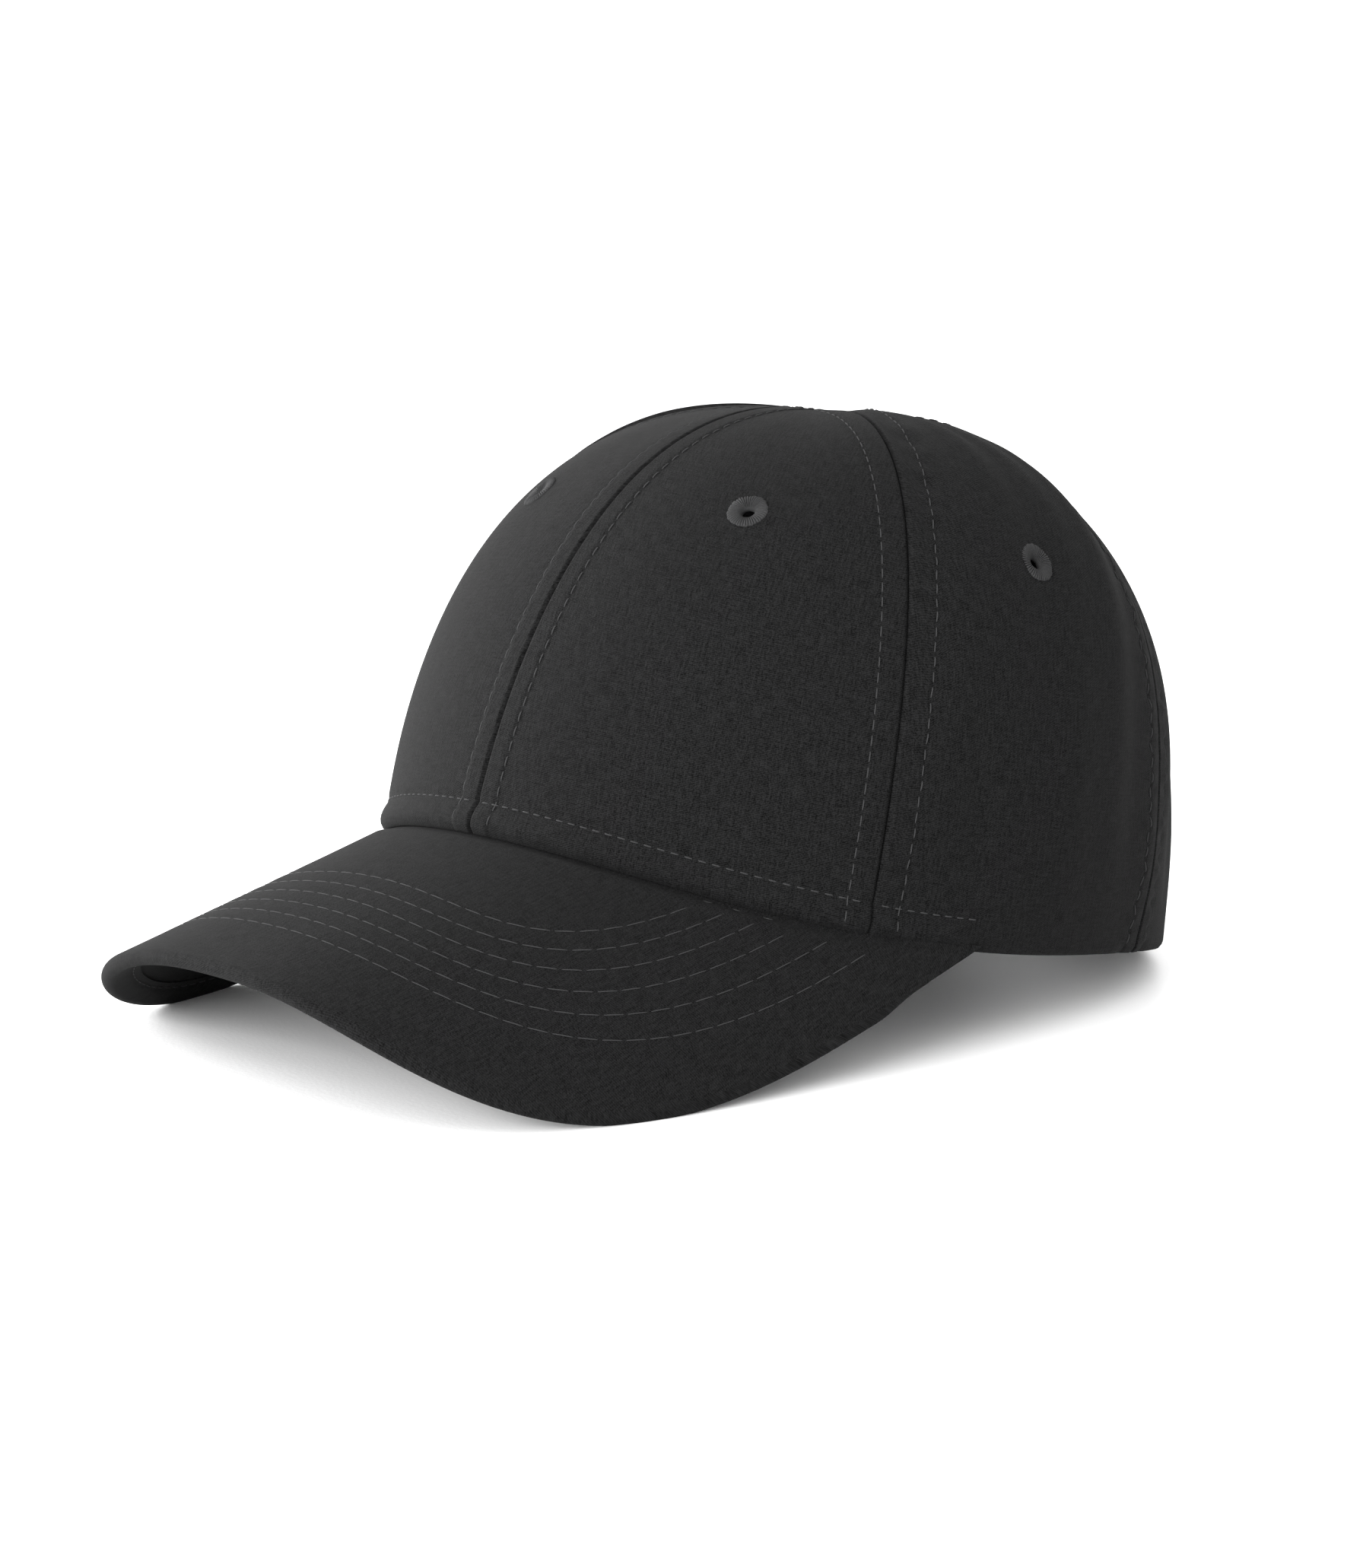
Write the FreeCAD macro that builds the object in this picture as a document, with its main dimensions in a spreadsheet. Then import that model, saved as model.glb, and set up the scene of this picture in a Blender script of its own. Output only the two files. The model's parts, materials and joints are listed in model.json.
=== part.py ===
"""Structured six-panel baseball cap with a curved visor and a sliding rear strap.

The crown is drawn level, with the visor towards -Y, the wearer's left towards +X and the middle
of the crown on the Z axis. Every piece then gets one common placement, which stands the cap on
the floor on the two side edges of its visor and the back edge of its crown. All lengths are mm.
"""
import FreeCAD, Part
import math
import os

Vector = FreeCAD.Vector

SIZES = [
    # crown blank, measured to the outside of the cloth
    ("crown_half_width", 88.7, "half the width of the base outline"),
    ("crown_front_depth", 89.5, "crown axis to the front of the base outline"),
    ("crown_rear_depth", 111.5, "crown axis to the back of the base outline"),
    ("crown_height", 114.0, "top of the crown above its base plane"),
    ("front_lean", -6.6, "sideways pull of the front profile, outward positive"),
    ("front_rise", 0.754, "upward pull of the front profile, as a share of the height"),
    ("front_crown_share", 0.41, "share of the base radius where the front profile turns in"),
    ("side_lean", 15.0, "sideways pull of the side profile"),
    ("side_rise", 1.184, "upward pull of the side profile, as a share of the height"),
    ("side_crown_share", 0.09, "share of the base radius where the side profile turns in"),
    ("rear_lean", -20.0, "sideways pull of the rear profile"),
    ("rear_rise", 0.86, "upward pull of the rear profile, as a share of the height"),
    ("rear_crown_share", 0.54, "share of the base radius where the rear profile turns in"),
    ("side_edge_dip", 2.8, "half the dip of the base edge at the sides"),
    ("front_edge_lift", 1.6, "half the lift of the base edge at the front"),
    ("front_seam_angle", 62.9, "front to side seam, degrees from the nose"),
    ("rear_seam_angle", 120.3, "side to rear seam, degrees from the nose"),
    # cloth layers
    ("panel_thickness", 1.0, "crown cloth"),
    ("stiffener_thickness", 0.7, "buckram behind the front panels"),
    ("stiffener_top", 0.80, "share of the profile that the buckram covers"),
    ("tape_thickness", 0.5, "seam tape"),
    ("tape_width", 12.0, "seam tape"),
    ("layer_gap", 0.05, "between the crown cloth and what is sewn inside it"),
    ("tape_rise", 1.0, "start of the tapes above the sweatband and above the arch's binding"),
    ("tape_end_radius", 14.0, "distance from the crown axis where the tapes stop"),
    ("sweatband_thickness", 1.2, "folded sweatband"),
    ("sweatband_height", 32.0, "folded sweatband"),
    ("pocket_depth", 5.4, "extra inset of the sweatband at the back, which leaves room for the strap"),
    ("pocket_start", 40.0, "start of the pocket, degrees past the front side seam"),
    ("pocket_ramp", 36.0, "degrees over which the pocket deepens"),
    ("stiffener_ramp", 15.0, "degrees over which the sweatband closes the buckram's thickness"),
    # eyelets
    ("eyelet_radius", 4.7, "outside of the embroidered ring"),
    ("eyelet_sleeve_radius", 2.3, "stitched hole wall, outside"),
    ("eyelet_hole_radius", 1.4, "clear hole"),
    ("eyelet_ring_height", 0.6, "ring standing on the cloth"),
    ("front_eyelet_angle", 33.0, "degrees from the nose"),
    ("front_eyelet_share", 0.403, "share along the profile"),
    ("side_eyelet_angle", 88.0, "degrees from the nose"),
    ("side_eyelet_share", 0.314, "share along the profile"),
    ("rear_eyelet_angle", 148.0, "degrees from the nose"),
    ("rear_eyelet_share", 0.36, "share along the profile"),
    # visor
    ("visor_length", 65.5, "front of the crown to the middle of the rim, in plan"),
    ("visor_root_angle", 79.5, "where the visor meets the crown, degrees from the nose"),
    ("visor_outline_power", 2.97, "squareness of the rim in plan"),
    ("visor_arch_power", 2.63, "squareness of the arch across"),
    ("visor_slope", 0.66, "fall of the rim for each mm forward"),
    ("visor_level", 10.9, "height that the falling line has at the crown's front"),
    ("visor_side_cut", 4.0, "angle trimmed off each corner, degrees along the rim"),
    ("board_thickness", 2.0, "stiff board inside the visor"),
    ("cover_thickness", 0.9, "visor cloth"),
    # rear opening
    ("opening_half_width", 33.0, "rear arch"),
    ("opening_spring", 12.0, "height where the arch starts to round"),
    ("binding_width", 9.0, "tape round the arch, on the inside"),
    ("binding_thickness", 0.6, "tape round the arch"),
    ("binding_rise", 1.0, "lower ends of the arch's tape above the strap"),
    # strap, a band turned about its own upright axis
    ("strap_low", 4.0, "lower edge above the base plane"),
    ("strap_width", 19.0, "upright width"),
    ("strap_thickness", 1.2, "two plies of cloth"),
    ("strap_tuck", 8.1, "strap behind each edge of the opening, degrees about its axis"),
    ("strap_clearance", 0.3, "gap to the cloth on each side"),
    # buckle, drawn flat with X along the strap, Y outwards and Z up the strap
    ("buckle_angle", 13.0, "place of the buckle along the strap, towards the wearer's left"),
    ("base_back", 8.0, "end of the base plate on the strap side"),
    ("base_front", 10.0, "end of the base plate on the tab side"),
    ("base_thickness", 1.0, "base plate"),
    ("base_depth", 1.5, "base plate below the strap"),
    ("base_side_gap", 0.5, "strap edge to ear"),
    ("ear_thickness", 1.2, "ear"),
    ("ear_reach", 4.3, "top of the ears above the middle of the strap"),
    ("ear_length", 8.0, "ear along the strap"),
    ("slot_width", 3.0, "slot that the tab passes through"),
    ("bar_width", 2.5, "bar that the tab wraps round"),
    ("pin_radius", 0.9, "hinge pin"),
    ("pin_setback", 4.5, "hinge pin from the middle of the buckle"),
    ("pin_height", 3.0, "hinge pin above the middle of the strap"),
    ("pin_clearance", 0.05, "lever on its pin"),
    ("barrel_radius", 1.7, "rolled end of the lever"),
    ("lever_length", 13.0, "pin to tip"),
    ("lever_thickness", 1.2, "lever plate"),
    ("lever_side_gap", 0.4, "lever edge to ear"),
    ("lip_height", 0.9, "finger lip at the lever's tip"),
    # tab that holds the buckle
    ("tab_width", 15.0, "upright width"),
    ("tab_thickness", 2.3, "folded cloth"),
    ("tab_start_angle", 4.2, "fold, degrees past the middle of the buckle"),
    ("joint_gap", 1.5, "from the opening's edge to the joint of tab and sweatband"),
]

doc = FreeCAD.newDocument("baseball_cap")
sheet = doc.addObject("Spreadsheet::Sheet", "Sizes")
for row, (alias, value, note) in enumerate(SIZES, start=1):
    sheet.set("A%d" % row, alias)
    sheet.set("B%d" % row, str(value))
    sheet.set("C%d" % row, note)
    sheet.setAlias("B%d" % row, alias)
doc.recompute()


def size(alias):
    """The plain number in the cell with this alias."""
    return float(sheet.get(alias))


# ---------------------------------------------------------------- crown surface


def base_radius(turn):
    """Two half ellipses that share the crown's width; turn is in radians from the nose."""
    depth = size("crown_front_depth") if math.cos(turn) > 0 else size("crown_rear_depth")
    return 1.0 / math.hypot(math.sin(turn) / size("crown_half_width"), math.cos(turn) / depth)


def base_level(turn):
    """Height of the base edge: dips at the sides and lifts a little at the front."""
    dip = size("side_edge_dip") * (math.cos(2 * turn) - 1)
    lift = size("front_edge_lift") * (math.cos(3 * turn) + 1)
    return dip + lift


def mixed(turn, name):
    """A profile value that runs smoothly from the nose or the back to the side."""
    across = math.sin(turn) ** 2
    end = "front_" if math.cos(turn) > 0 else "rear_"
    return across * size("side_" + name) + (1 - across) * size(end + name)


def crown_point(turn, share):
    """Point on the outside of the crown: a cubic profile from the base edge to the top."""
    radius = base_radius(turn)
    level = base_level(turn)
    height = size("crown_height")
    rest = 1 - share
    start, pull, turn_in, top = rest ** 3, 3 * share * rest ** 2, 3 * share ** 2 * rest, share ** 3
    out = start * radius + pull * (radius + mixed(turn, "lean"))
    out += turn_in * radius * mixed(turn, "crown_share")
    up = start * level + pull * (level + mixed(turn, "rise") * height) + (turn_in + top) * height
    return Vector(out * math.sin(turn), -out * math.cos(turn), up)


def crown_normal(turn, share):
    """Outward unit normal of the crown."""
    if share > 0.999:
        return Vector(0, 0, 1)
    step = 1e-4
    along = crown_point(turn + step, share) - crown_point(turn - step, share)
    low, high = max(share - step, 0.0), share + step
    up = crown_point(turn, high) - crown_point(turn, low)
    return along.cross(up).normalize()


def inside_crown(turn, share, inset):
    """Point a given thickness inside the crown."""
    return crown_point(turn, share) - crown_normal(turn, share) * inset


HALVINGS = 40  # an interval is halved this often, down to far less than a thousandth of a millimetre


def share_at_height(turn, rise):
    """Share of the profile where the crown is a given height above its own base edge."""
    low, high = 0.0, 0.9
    goal = base_level(turn) + rise
    for _ in range(HALVINGS):
        middle = (low + high) / 2
        if crown_point(turn, middle).z < goal:
            low = middle
        else:
            high = middle
    return low


def share_at_radius(turn, radius):
    """Share of the profile where the crown is a given distance from its axis, near the top."""
    low, high = 0.4, 1.0
    for _ in range(HALVINGS):
        middle = (low + high) / 2
        point = crown_point(turn, middle)
        if math.hypot(point.x, point.y) > radius:
            low = middle
        else:
            high = middle
    return low


def spread(first, last, count):
    """Evenly spaced values from first to last."""
    return [first + (last - first) * i / (count - 1) for i in range(count)]


# ---------------------------------------------------------------- solids from point grids


def layer_solid(outer, inner):
    """Closed solid between two grids of points, with straight walls round its edge."""
    faces = []
    skins = []
    for grid in (outer, inner):
        surface = Part.BSplineSurface()
        surface.interpolate(grid)
        skins.append(surface)
        faces.append(surface.toShape())
    first, last = skins[0].bounds()[0], skins[0].bounds()[1]
    start, end = skins[0].bounds()[2], skins[0].bounds()[3]
    bounds = skins[1].bounds()
    pairs = [
        (skins[0].uIso(first), skins[1].uIso(bounds[0])),
        (skins[0].uIso(last), skins[1].uIso(bounds[1])),
        (skins[0].vIso(start), skins[1].vIso(bounds[2])),
        (skins[0].vIso(end), skins[1].vIso(bounds[3])),
    ]
    for above, below in pairs:
        edges = [above.toShape(), below.toShape()]
        if edges[0].Length > 0.01:
            faces.append(Part.makeRuledSurface(edges[0], edges[1]))
    shell = Part.makeCompound(faces)
    shell.sewShape(1e-4)
    solid = Part.makeSolid(shell.Shells[0])
    if solid.Volume < 0:
        solid.reverse()
    return solid


def profile_shares(last):
    """Shares of the profile from the base edge up to a last one, closest together at the base."""
    return [last * part ** PROFILE_POWER for part in spread(0.0, 1.0, PROFILE_ROWS)]


def crown_layer(first_turn, last_turn, top_share, outset, inset):
    """Part of the crown between two depths, from the base edge up to a share of the profile."""
    turns = spread(first_turn, last_turn, PANEL_COLUMNS)
    shares = profile_shares(top_share)
    outer = [[inside_crown(turn, share, outset) for share in shares] for turn in turns]
    inner = [[inside_crown(turn, share, inset) for share in shares] for turn in turns]
    return layer_solid(outer, inner)


# ---------------------------------------------------------------- visor surface


PAST_RIM = 0.5  # the surface is drawn this far past the rim
VISOR_COLUMNS = 41
VISOR_ROWS = 6
RIM_COLUMNS = 61


def visor_corner():
    """Point of the crown's base edge where the visor ends."""
    return crown_point(math.radians(size("visor_root_angle")), 0.0)


def rim_point(angle, margin):
    """Rim in plan, moved in by a margin: a squared ellipse from corner to corner."""
    corner = visor_corner()
    power = 2.0 / size("visor_outline_power")
    half = corner.x - margin
    reach = size("crown_front_depth") + size("visor_length") + corner.y - margin
    across = math.copysign(abs(math.sin(angle)) ** power, math.sin(angle))
    return half * across, corner.y - reach * abs(math.cos(angle)) ** power


def visor_half():
    """Half the thickness of the board and its two cloths."""
    return size("board_thickness") / 2 + size("cover_thickness")


def root_y(across):
    """Where the middle of the visor starts: inside the base outline, so that its top meets it."""
    ratio = min(abs(across) / size("crown_half_width"), 1.0)
    inside = visor_half() * math.sin(math.atan(size("visor_slope")))
    return (inside - size("crown_front_depth")) * math.sqrt(1 - ratio ** 2)


def visor_height(across, along):
    """Middle of the visor's thickness: straight lines from the crown's base edge to the rim."""
    corner = visor_corner()
    ratio = min(abs(across) / (corner.x + PAST_RIM), 1.0)
    power = size("visor_outline_power")
    rim_along = rim_point(math.asin(ratio ** (power / 2)), -PAST_RIM)[1]
    start = root_y(across)
    turn = math.atan2(across, -start)
    root_level = base_level(turn) - visor_half() * math.cos(math.atan(size("visor_slope")))
    forward = -rim_along - size("crown_front_depth")
    corner_forward = -corner.y - size("crown_front_depth")
    fall = size("visor_level") - size("visor_slope") * corner_forward - corner.z
    rim_level = size("visor_level") - size("visor_slope") * forward
    rim_level -= fall * ratio ** size("visor_arch_power")
    span = start - rim_along
    part = 0.0 if span < 1e-9 else (start - along) / span
    return root_level + (rim_level - root_level) * part


def visor_middle(angle, part, margin):
    """Middle of the thickness: angle runs along the rim, part from the crown (0) to the rim (1)."""
    across, rim_along = rim_point(angle, margin)
    start = root_y(across)
    along = start + (rim_along - start) * part
    return Vector(across, along, visor_height(across, along))


def visor_point(angle, part, margin, offset):
    """Point of the visor, a given distance above the middle of its thickness."""
    step = 0.01
    side = visor_middle(angle + step, part, margin) - visor_middle(angle - step, part, margin)
    ahead = visor_middle(angle, part + step, margin) - visor_middle(angle, part - step, margin)
    normal = ahead.cross(side).normalize()
    if normal.z < 0:
        normal = normal * -1
    return visor_middle(angle, part, margin) + normal * offset


def visor_angles(count):
    """Angles along the rim, short of the two trimmed corners."""
    limit = math.radians(90 - size("visor_side_cut"))
    return spread(-limit, limit, count)


def visor_layer(low, high, margin):
    """Plate of the visor between two offsets."""
    def grid(offset):
        return [[visor_point(angle, part, margin, offset) for part in spread(0.0, 1.0, VISOR_ROWS)]
                for angle in visor_angles(VISOR_COLUMNS)]
    return layer_solid(grid(high), grid(low))


def rim_fold(low, high, width):
    """Strip of cover cloth that goes down round the rim."""
    def grid(offset):
        return [[visor_point(angle, 1.0, width * part, offset) for part in (0.0, 0.5, 1.0)]
                for angle in visor_angles(RIM_COLUMNS)]
    return layer_solid(grid(high), grid(low))


# ---------------------------------------------------------------- how the cap stands


def nose_up(point, angle):
    """Point turned about the X axis so that the visor rises."""
    cosine, sine = math.cos(angle), math.sin(angle)
    return Vector(point.x, cosine * point.y + sine * point.z, cosine * point.z - sine * point.y)


STEEPEST = math.radians(40)  # the cap never has to be turned further than this to stand
RIM_SAMPLES = 121
BASE_SAMPLES = 30


def standing_angle():
    """Angle at which the lowest point of the visor and of the crown's back are level."""
    visor = [visor_point(angle, 1.0, 0.0, -visor_half()) for angle in visor_angles(RIM_SAMPLES)]
    edge = math.asin(size("opening_half_width") / size("crown_rear_depth"))
    back = [crown_point(math.pi - turn, 0.0) for turn in spread(edge, math.pi - REAR, BASE_SAMPLES)]
    low, high = 0.0, STEEPEST
    for _ in range(HALVINGS):
        middle = (low + high) / 2
        gap = min(nose_up(p, middle).z for p in visor) - min(nose_up(p, middle).z for p in back)
        if gap < 0:
            low = middle
        else:
            high = middle
    return (low + high) / 2


# ---------------------------------------------------------------- document helpers


def feature(name, shape):
    """Document object that holds a shape worked out above."""
    item = doc.addObject("Part::Feature", name)
    item.Shape = shape
    return item


def bound(kind, name, **expressions):
    """Part primitive whose sizes are bound to the sheet."""
    item = doc.addObject(kind, name)
    for key, text in expressions.items():
        item.setExpression(key, text)
    return item


def box(name, corner, length, width, height):
    """Box with its lowest corner at a point; its three sizes are expressions."""
    item = bound("Part::Box", name, Length=length, Width=width, Height=height)
    item.Placement.Base = Vector(*corner)
    return item


def cut(name, base, *tools):
    """Base with every tool taken away."""
    tool = tools[0] if len(tools) == 1 else fuse(name + "_tools", *tools)
    item = doc.addObject("Part::Cut", name)
    item.Base = base
    item.Tool = tool
    return item


def fuse(name, *shapes):
    """One solid from several that meet."""
    item = doc.addObject("Part::MultiFuse", name)
    item.Shapes = list(shapes)
    return item


def common(name, *shapes):
    """What several solids share."""
    item = doc.addObject("Part::MultiCommon", name)
    item.Shapes = list(shapes)
    return item


BELOW = 20.0  # tools that cut through the base edge start this far under it
pieces = []


def piece(item, label, local=None):
    """Register a finished sub-part; local is its own place in the level crown."""
    item.Label = label
    pieces.append((item, local or FreeCAD.Placement()))
    return item


# ---------------------------------------------------------------- seams and panels

FRONT, REAR = math.radians(size("front_seam_angle")), math.radians(size("rear_seam_angle"))
PANELS = [
    ("front_left", 0.0, FRONT, "front_eyelet", 1),
    ("front_right", -FRONT, 0.0, "front_eyelet", -1),
    ("side_left", FRONT, REAR, "side_eyelet", 1),
    ("side_right", -REAR, -FRONT, "side_eyelet", -1),
    ("rear_left", REAR, math.pi, "rear_eyelet", 1),
    ("rear_right", -math.pi, -REAR, "rear_eyelet", -1),
]
PANEL_COLUMNS = 11
PROFILE_ROWS = 21
PROFILE_POWER = 1.6  # rows lie closer together near the base edge, where the profile runs fastest
cloth = size("panel_thickness")
buckram = size("stiffener_thickness")


def eyelet_place(key, side):
    """Placement on the outside of the crown with Z along the outward normal."""
    turn = side * math.radians(size(key + "_angle"))
    share = size(key + "_share")
    spin = FreeCAD.Rotation(Vector(0, 0, 1), crown_normal(turn, share))
    return FreeCAD.Placement(crown_point(turn, share), spin)


def opening_tool(name, margin=None):
    """Arch through the back of the crown, widened by one more size if that is named."""
    half = "Sizes.opening_half_width"
    wide = size("opening_half_width")
    if margin:
        half += " + Sizes." + margin
        wide += size(margin)
    arch = bound("Part::Cylinder", name + "_arch", Radius=half, Height="Sizes.crown_rear_depth")
    spin = FreeCAD.Rotation(Vector(1, 0, 0), -90)
    start = size("crown_rear_depth") / 2
    arch.Placement = FreeCAD.Placement(Vector(0, start, size("opening_spring")), spin)
    legs = box(name + "_legs", (-wide, start, -BELOW), "2 * (%s)" % half, "Sizes.crown_rear_depth",
               "Sizes.opening_spring + %g" % BELOW)
    return fuse(name, arch, legs)


def hole_tool(name, place):
    """Cylinder through every layer of cloth at an eyelet."""
    hole = bound("Part::Cylinder", name, Radius="Sizes.eyelet_sleeve_radius",
                 Height="4 * (Sizes.panel_thickness + Sizes.stiffener_thickness)")
    hole.Placement = place.multiply(
        FreeCAD.Placement(Vector(0, 0, -2 * (cloth + buckram)), FreeCAD.Rotation()))
    return hole


def make_panels():
    """Six crown panels, each with its eyelet; the rear pair is cut away at the opening."""
    for name, start, end, key, side in PANELS:
        blank = feature(name + "_blank", crown_layer(start, end, 1.0, 0.0, cloth))
        place = eyelet_place(key, side)
        tools = [hole_tool(name + "_hole", place)]
        if name.startswith("rear"):
            tools.append(opening_tool(name + "_opening"))
        piece(cut(name + "_cut", blank, *tools), name + "_panel")
        depth, depth_text = cloth, "Sizes.panel_thickness"
        if name.startswith("front"):
            depth += buckram
            depth_text += " + Sizes.stiffener_thickness"
        make_eyelet(name, place, depth, depth_text)


def make_eyelet(name, place, depth, depth_text):
    """Embroidered ring with a sleeve through the cloth, drawn with Z outwards."""
    ring = bound("Part::Cylinder", name + "_ring", Radius="Sizes.eyelet_radius",
                 Height="Sizes.eyelet_ring_height")
    sleeve = bound("Part::Cylinder", name + "_sleeve", Radius="Sizes.eyelet_sleeve_radius",
                   Height=depth_text + " + Sizes.eyelet_ring_height")
    sleeve.Placement.Base = Vector(0, 0, -depth)
    hole = bound("Part::Cylinder", name + "_way", Radius="Sizes.eyelet_hole_radius",
                 Height="2 * (%s + Sizes.eyelet_ring_height)" % depth_text)
    hole.Placement.Base = Vector(0, 0, -depth - size("eyelet_ring_height"))
    piece(cut(name + "_eyelet_cut", fuse(name + "_eyelet_body", ring, sleeve), hole),
          name + "_eyelet", place)


def make_stiffeners():
    """Buckram behind the two front panels."""
    for name, start, end, key, side in PANELS[:2]:
        layer = crown_layer(start, end, size("stiffener_top"), cloth, cloth + buckram)
        blank = feature(name + "_buckram", layer)
        hole = hole_tool(name + "_buckram_hole", eyelet_place(key, side))
        piece(cut(name + "_stiffener_cut", blank, hole), name + "_stiffener")


TAPE_COLUMNS = 5
TAPE_ROWS = 12


def tape_solid(turn, start, depth):
    """Tape of even width along a seam, from a share of the profile up to near the top."""
    last = share_at_radius(turn, size("tape_end_radius"))
    outer, inner = [], []
    for part in spread(-0.5, 0.5, TAPE_COLUMNS):
        rows = ([], [])
        for share in spread(start, last, TAPE_ROWS):
            point = crown_point(turn, share)
            shift = part * size("tape_width") / math.hypot(point.x, point.y)
            rows[0].append(inside_crown(turn + shift, share, depth))
            rows[1].append(inside_crown(turn + shift, share, depth + size("tape_thickness")))
        outer.append(rows[0])
        inner.append(rows[1])
    return layer_solid(outer, inner)


def make_tapes():
    """Tapes that cover the six seams on the inside, above the sweatband and the rear arch."""
    over_band = size("sweatband_height") + size("tape_rise")
    arch_top = size("opening_spring") + size("opening_half_width") + size("binding_width")
    over_arch = arch_top + size("tape_rise")
    thin = cloth + size("layer_gap")
    deep = thin + buckram
    seams = [
        ("front_seam_tape", 0.0, over_band, deep),
        ("front_side_seam_tape_left", FRONT, over_band, deep),
        ("front_side_seam_tape_right", -FRONT, over_band, deep),
        ("side_rear_seam_tape_left", REAR, over_band, thin),
        ("side_rear_seam_tape_right", -REAR, over_band, thin),
        ("rear_seam_tape", math.pi, over_arch, thin),
    ]
    for name, turn, rise, depth in seams:
        piece(feature(name + "_solid", tape_solid(turn, share_at_height(turn, rise), depth)), name)


def smooth(value):
    """Smooth step from 0 to 1."""
    value = min(max(value, 0.0), 1.0)
    return value * value * (3 - 2 * value)


def band_depth(turn):
    """Depth of the sweatband's outside: behind the buckram in front, off the panels at the back."""
    angle = abs(math.degrees(turn))
    front = size("front_seam_angle")
    past_seam = angle - front
    depth = cloth + size("layer_gap") + buckram * (1 - smooth(past_seam / size("stiffener_ramp")))
    pocket = smooth((past_seam - size("pocket_start")) / size("pocket_ramp"))
    return depth + size("pocket_depth") * pocket


def joint_line():
    """Distance from the middle where the sweatband and the buckle's tab meet."""
    return size("opening_half_width") + size("joint_gap")


SPARE = 1.0  # cutting tools reach this far past what they cut
BAND_COLUMNS = 61
BAND_ROWS = 5
BAND_PAST = 0.6  # the blank band is drawn on into the opening, to this share of its half width
SHEET_PAST = 1.5  # the blank binding is this many times as wide as the arch with its tape


def make_sweatband():
    """Band inside the base edge, open at the back where the buckle's tab and the strap pass."""
    last = math.pi - BAND_PAST * math.asin(size("opening_half_width") / size("crown_half_width"))
    outer, inner = [], []
    for turn in spread(-last, last, BAND_COLUMNS):
        depth = band_depth(turn)
        rows = ([], [])
        for rise in spread(0.0, size("sweatband_height"), BAND_ROWS):
            share = share_at_height(turn, rise)
            rows[0].append(inside_crown(turn, share, depth))
            rows[1].append(inside_crown(turn, share, depth + size("sweatband_thickness")))
        outer.append(rows[0])
        inner.append(rows[1])
    blank = feature("sweatband_blank", layer_solid(outer, inner))
    gap = box("sweatband_gap", (-joint_line(), size("crown_rear_depth") / 2, -BELOW),
              "2 * (Sizes.opening_half_width + Sizes.joint_gap)", "Sizes.crown_rear_depth",
              "Sizes.crown_height")
    piece(cut("sweatband_cut", blank, gap), "sweatband")


def make_binding():
    """Tape sewn round the arch on the inside, above the strap."""
    depth = cloth + size("layer_gap")
    reach = math.asin((size("opening_half_width") + size("binding_width")) / size("crown_half_width"))
    sheet_edge = min(SHEET_PAST * reach, math.pi - REAR)
    layer = feature("binding_layer", crown_layer(math.pi - sheet_edge, math.pi + sheet_edge, 1.0, depth,
                                                 depth + size("binding_thickness")))
    ring = cut("binding_ring", opening_tool("binding_outside", "binding_width"),
               opening_tool("binding_inside"))
    start = size("strap_low") + size("strap_width") + size("binding_rise")
    above = box("binding_above", (-size("crown_half_width"), 0, start), "2 * Sizes.crown_half_width",
                "2 * Sizes.crown_rear_depth", "Sizes.crown_height")
    piece(common("binding_common", layer, ring, above), "rear_arch_binding")


# ---------------------------------------------------------------- visor pieces


def make_visor():
    """Board between two cloths; the upper cloth is folded down round the rim."""
    half_board = size("board_thickness") / 2
    cover = size("cover_thickness")
    piece(feature("board_solid", visor_layer(-half_board, half_board, cover)), "visor_board")
    under = visor_layer(-half_board - cover, -half_board, cover)
    piece(feature("under_solid", under), "visor_under_cover")
    plate = feature("cover_plate", visor_layer(half_board, half_board + cover, 0.0))
    fold = feature("cover_fold", rim_fold(-half_board - cover, half_board, cover))
    whole = doc.addObject("Part::Compound", "cover_compound")
    whole.Links = [plate, fold]
    piece(whole, "visor_top_cover")


# ---------------------------------------------------------------- strap and buckle

LEAN = math.atan2(-size("rear_lean"), size("rear_rise") * size("crown_height"))
CIRCLE = "Sizes.crown_half_width ^ 2 / Sizes.crown_rear_depth"
SLOPE = "Sizes.rear_lean / (Sizes.rear_rise * Sizes.crown_height)"


def strap_circle():
    """Radius of the circle that fits the back of the base outline."""
    return size("crown_half_width") ** 2 / size("crown_rear_depth")


def strap_axis_y():
    """Centre of the circle that fits the back of the base outline."""
    return size("crown_rear_depth") - strap_circle()


def strap_half_angle():
    """Half the strap in degrees about its axis: half the opening and the part tucked away."""
    return math.degrees(math.asin(size("opening_half_width") / strap_circle())) + size("strap_tuck")


def band_cone(name, depth, low, high, base, angle, start_angle=0.0):
    """Solid cone whose wall is a given depth inside the back of the crown.

    Its lower face stands at base, and its sector starts at start_angle from the X axis.
    """
    radius = CIRCLE + " - (%s) / %.6f + %s * (%s)"
    item = bound("Part::Cone", name,
                 Radius1=radius % (depth, math.cos(LEAN), SLOPE, low),
                 Radius2=radius % (depth, math.cos(LEAN), SLOPE, high),
                 Height="(%s) - (%s)" % (high, low), Angle=angle)
    spin = FreeCAD.Rotation(Vector(0, 0, 1), start_angle)
    item.Placement = FreeCAD.Placement(Vector(0, strap_axis_y(), base), spin)
    return item


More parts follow.
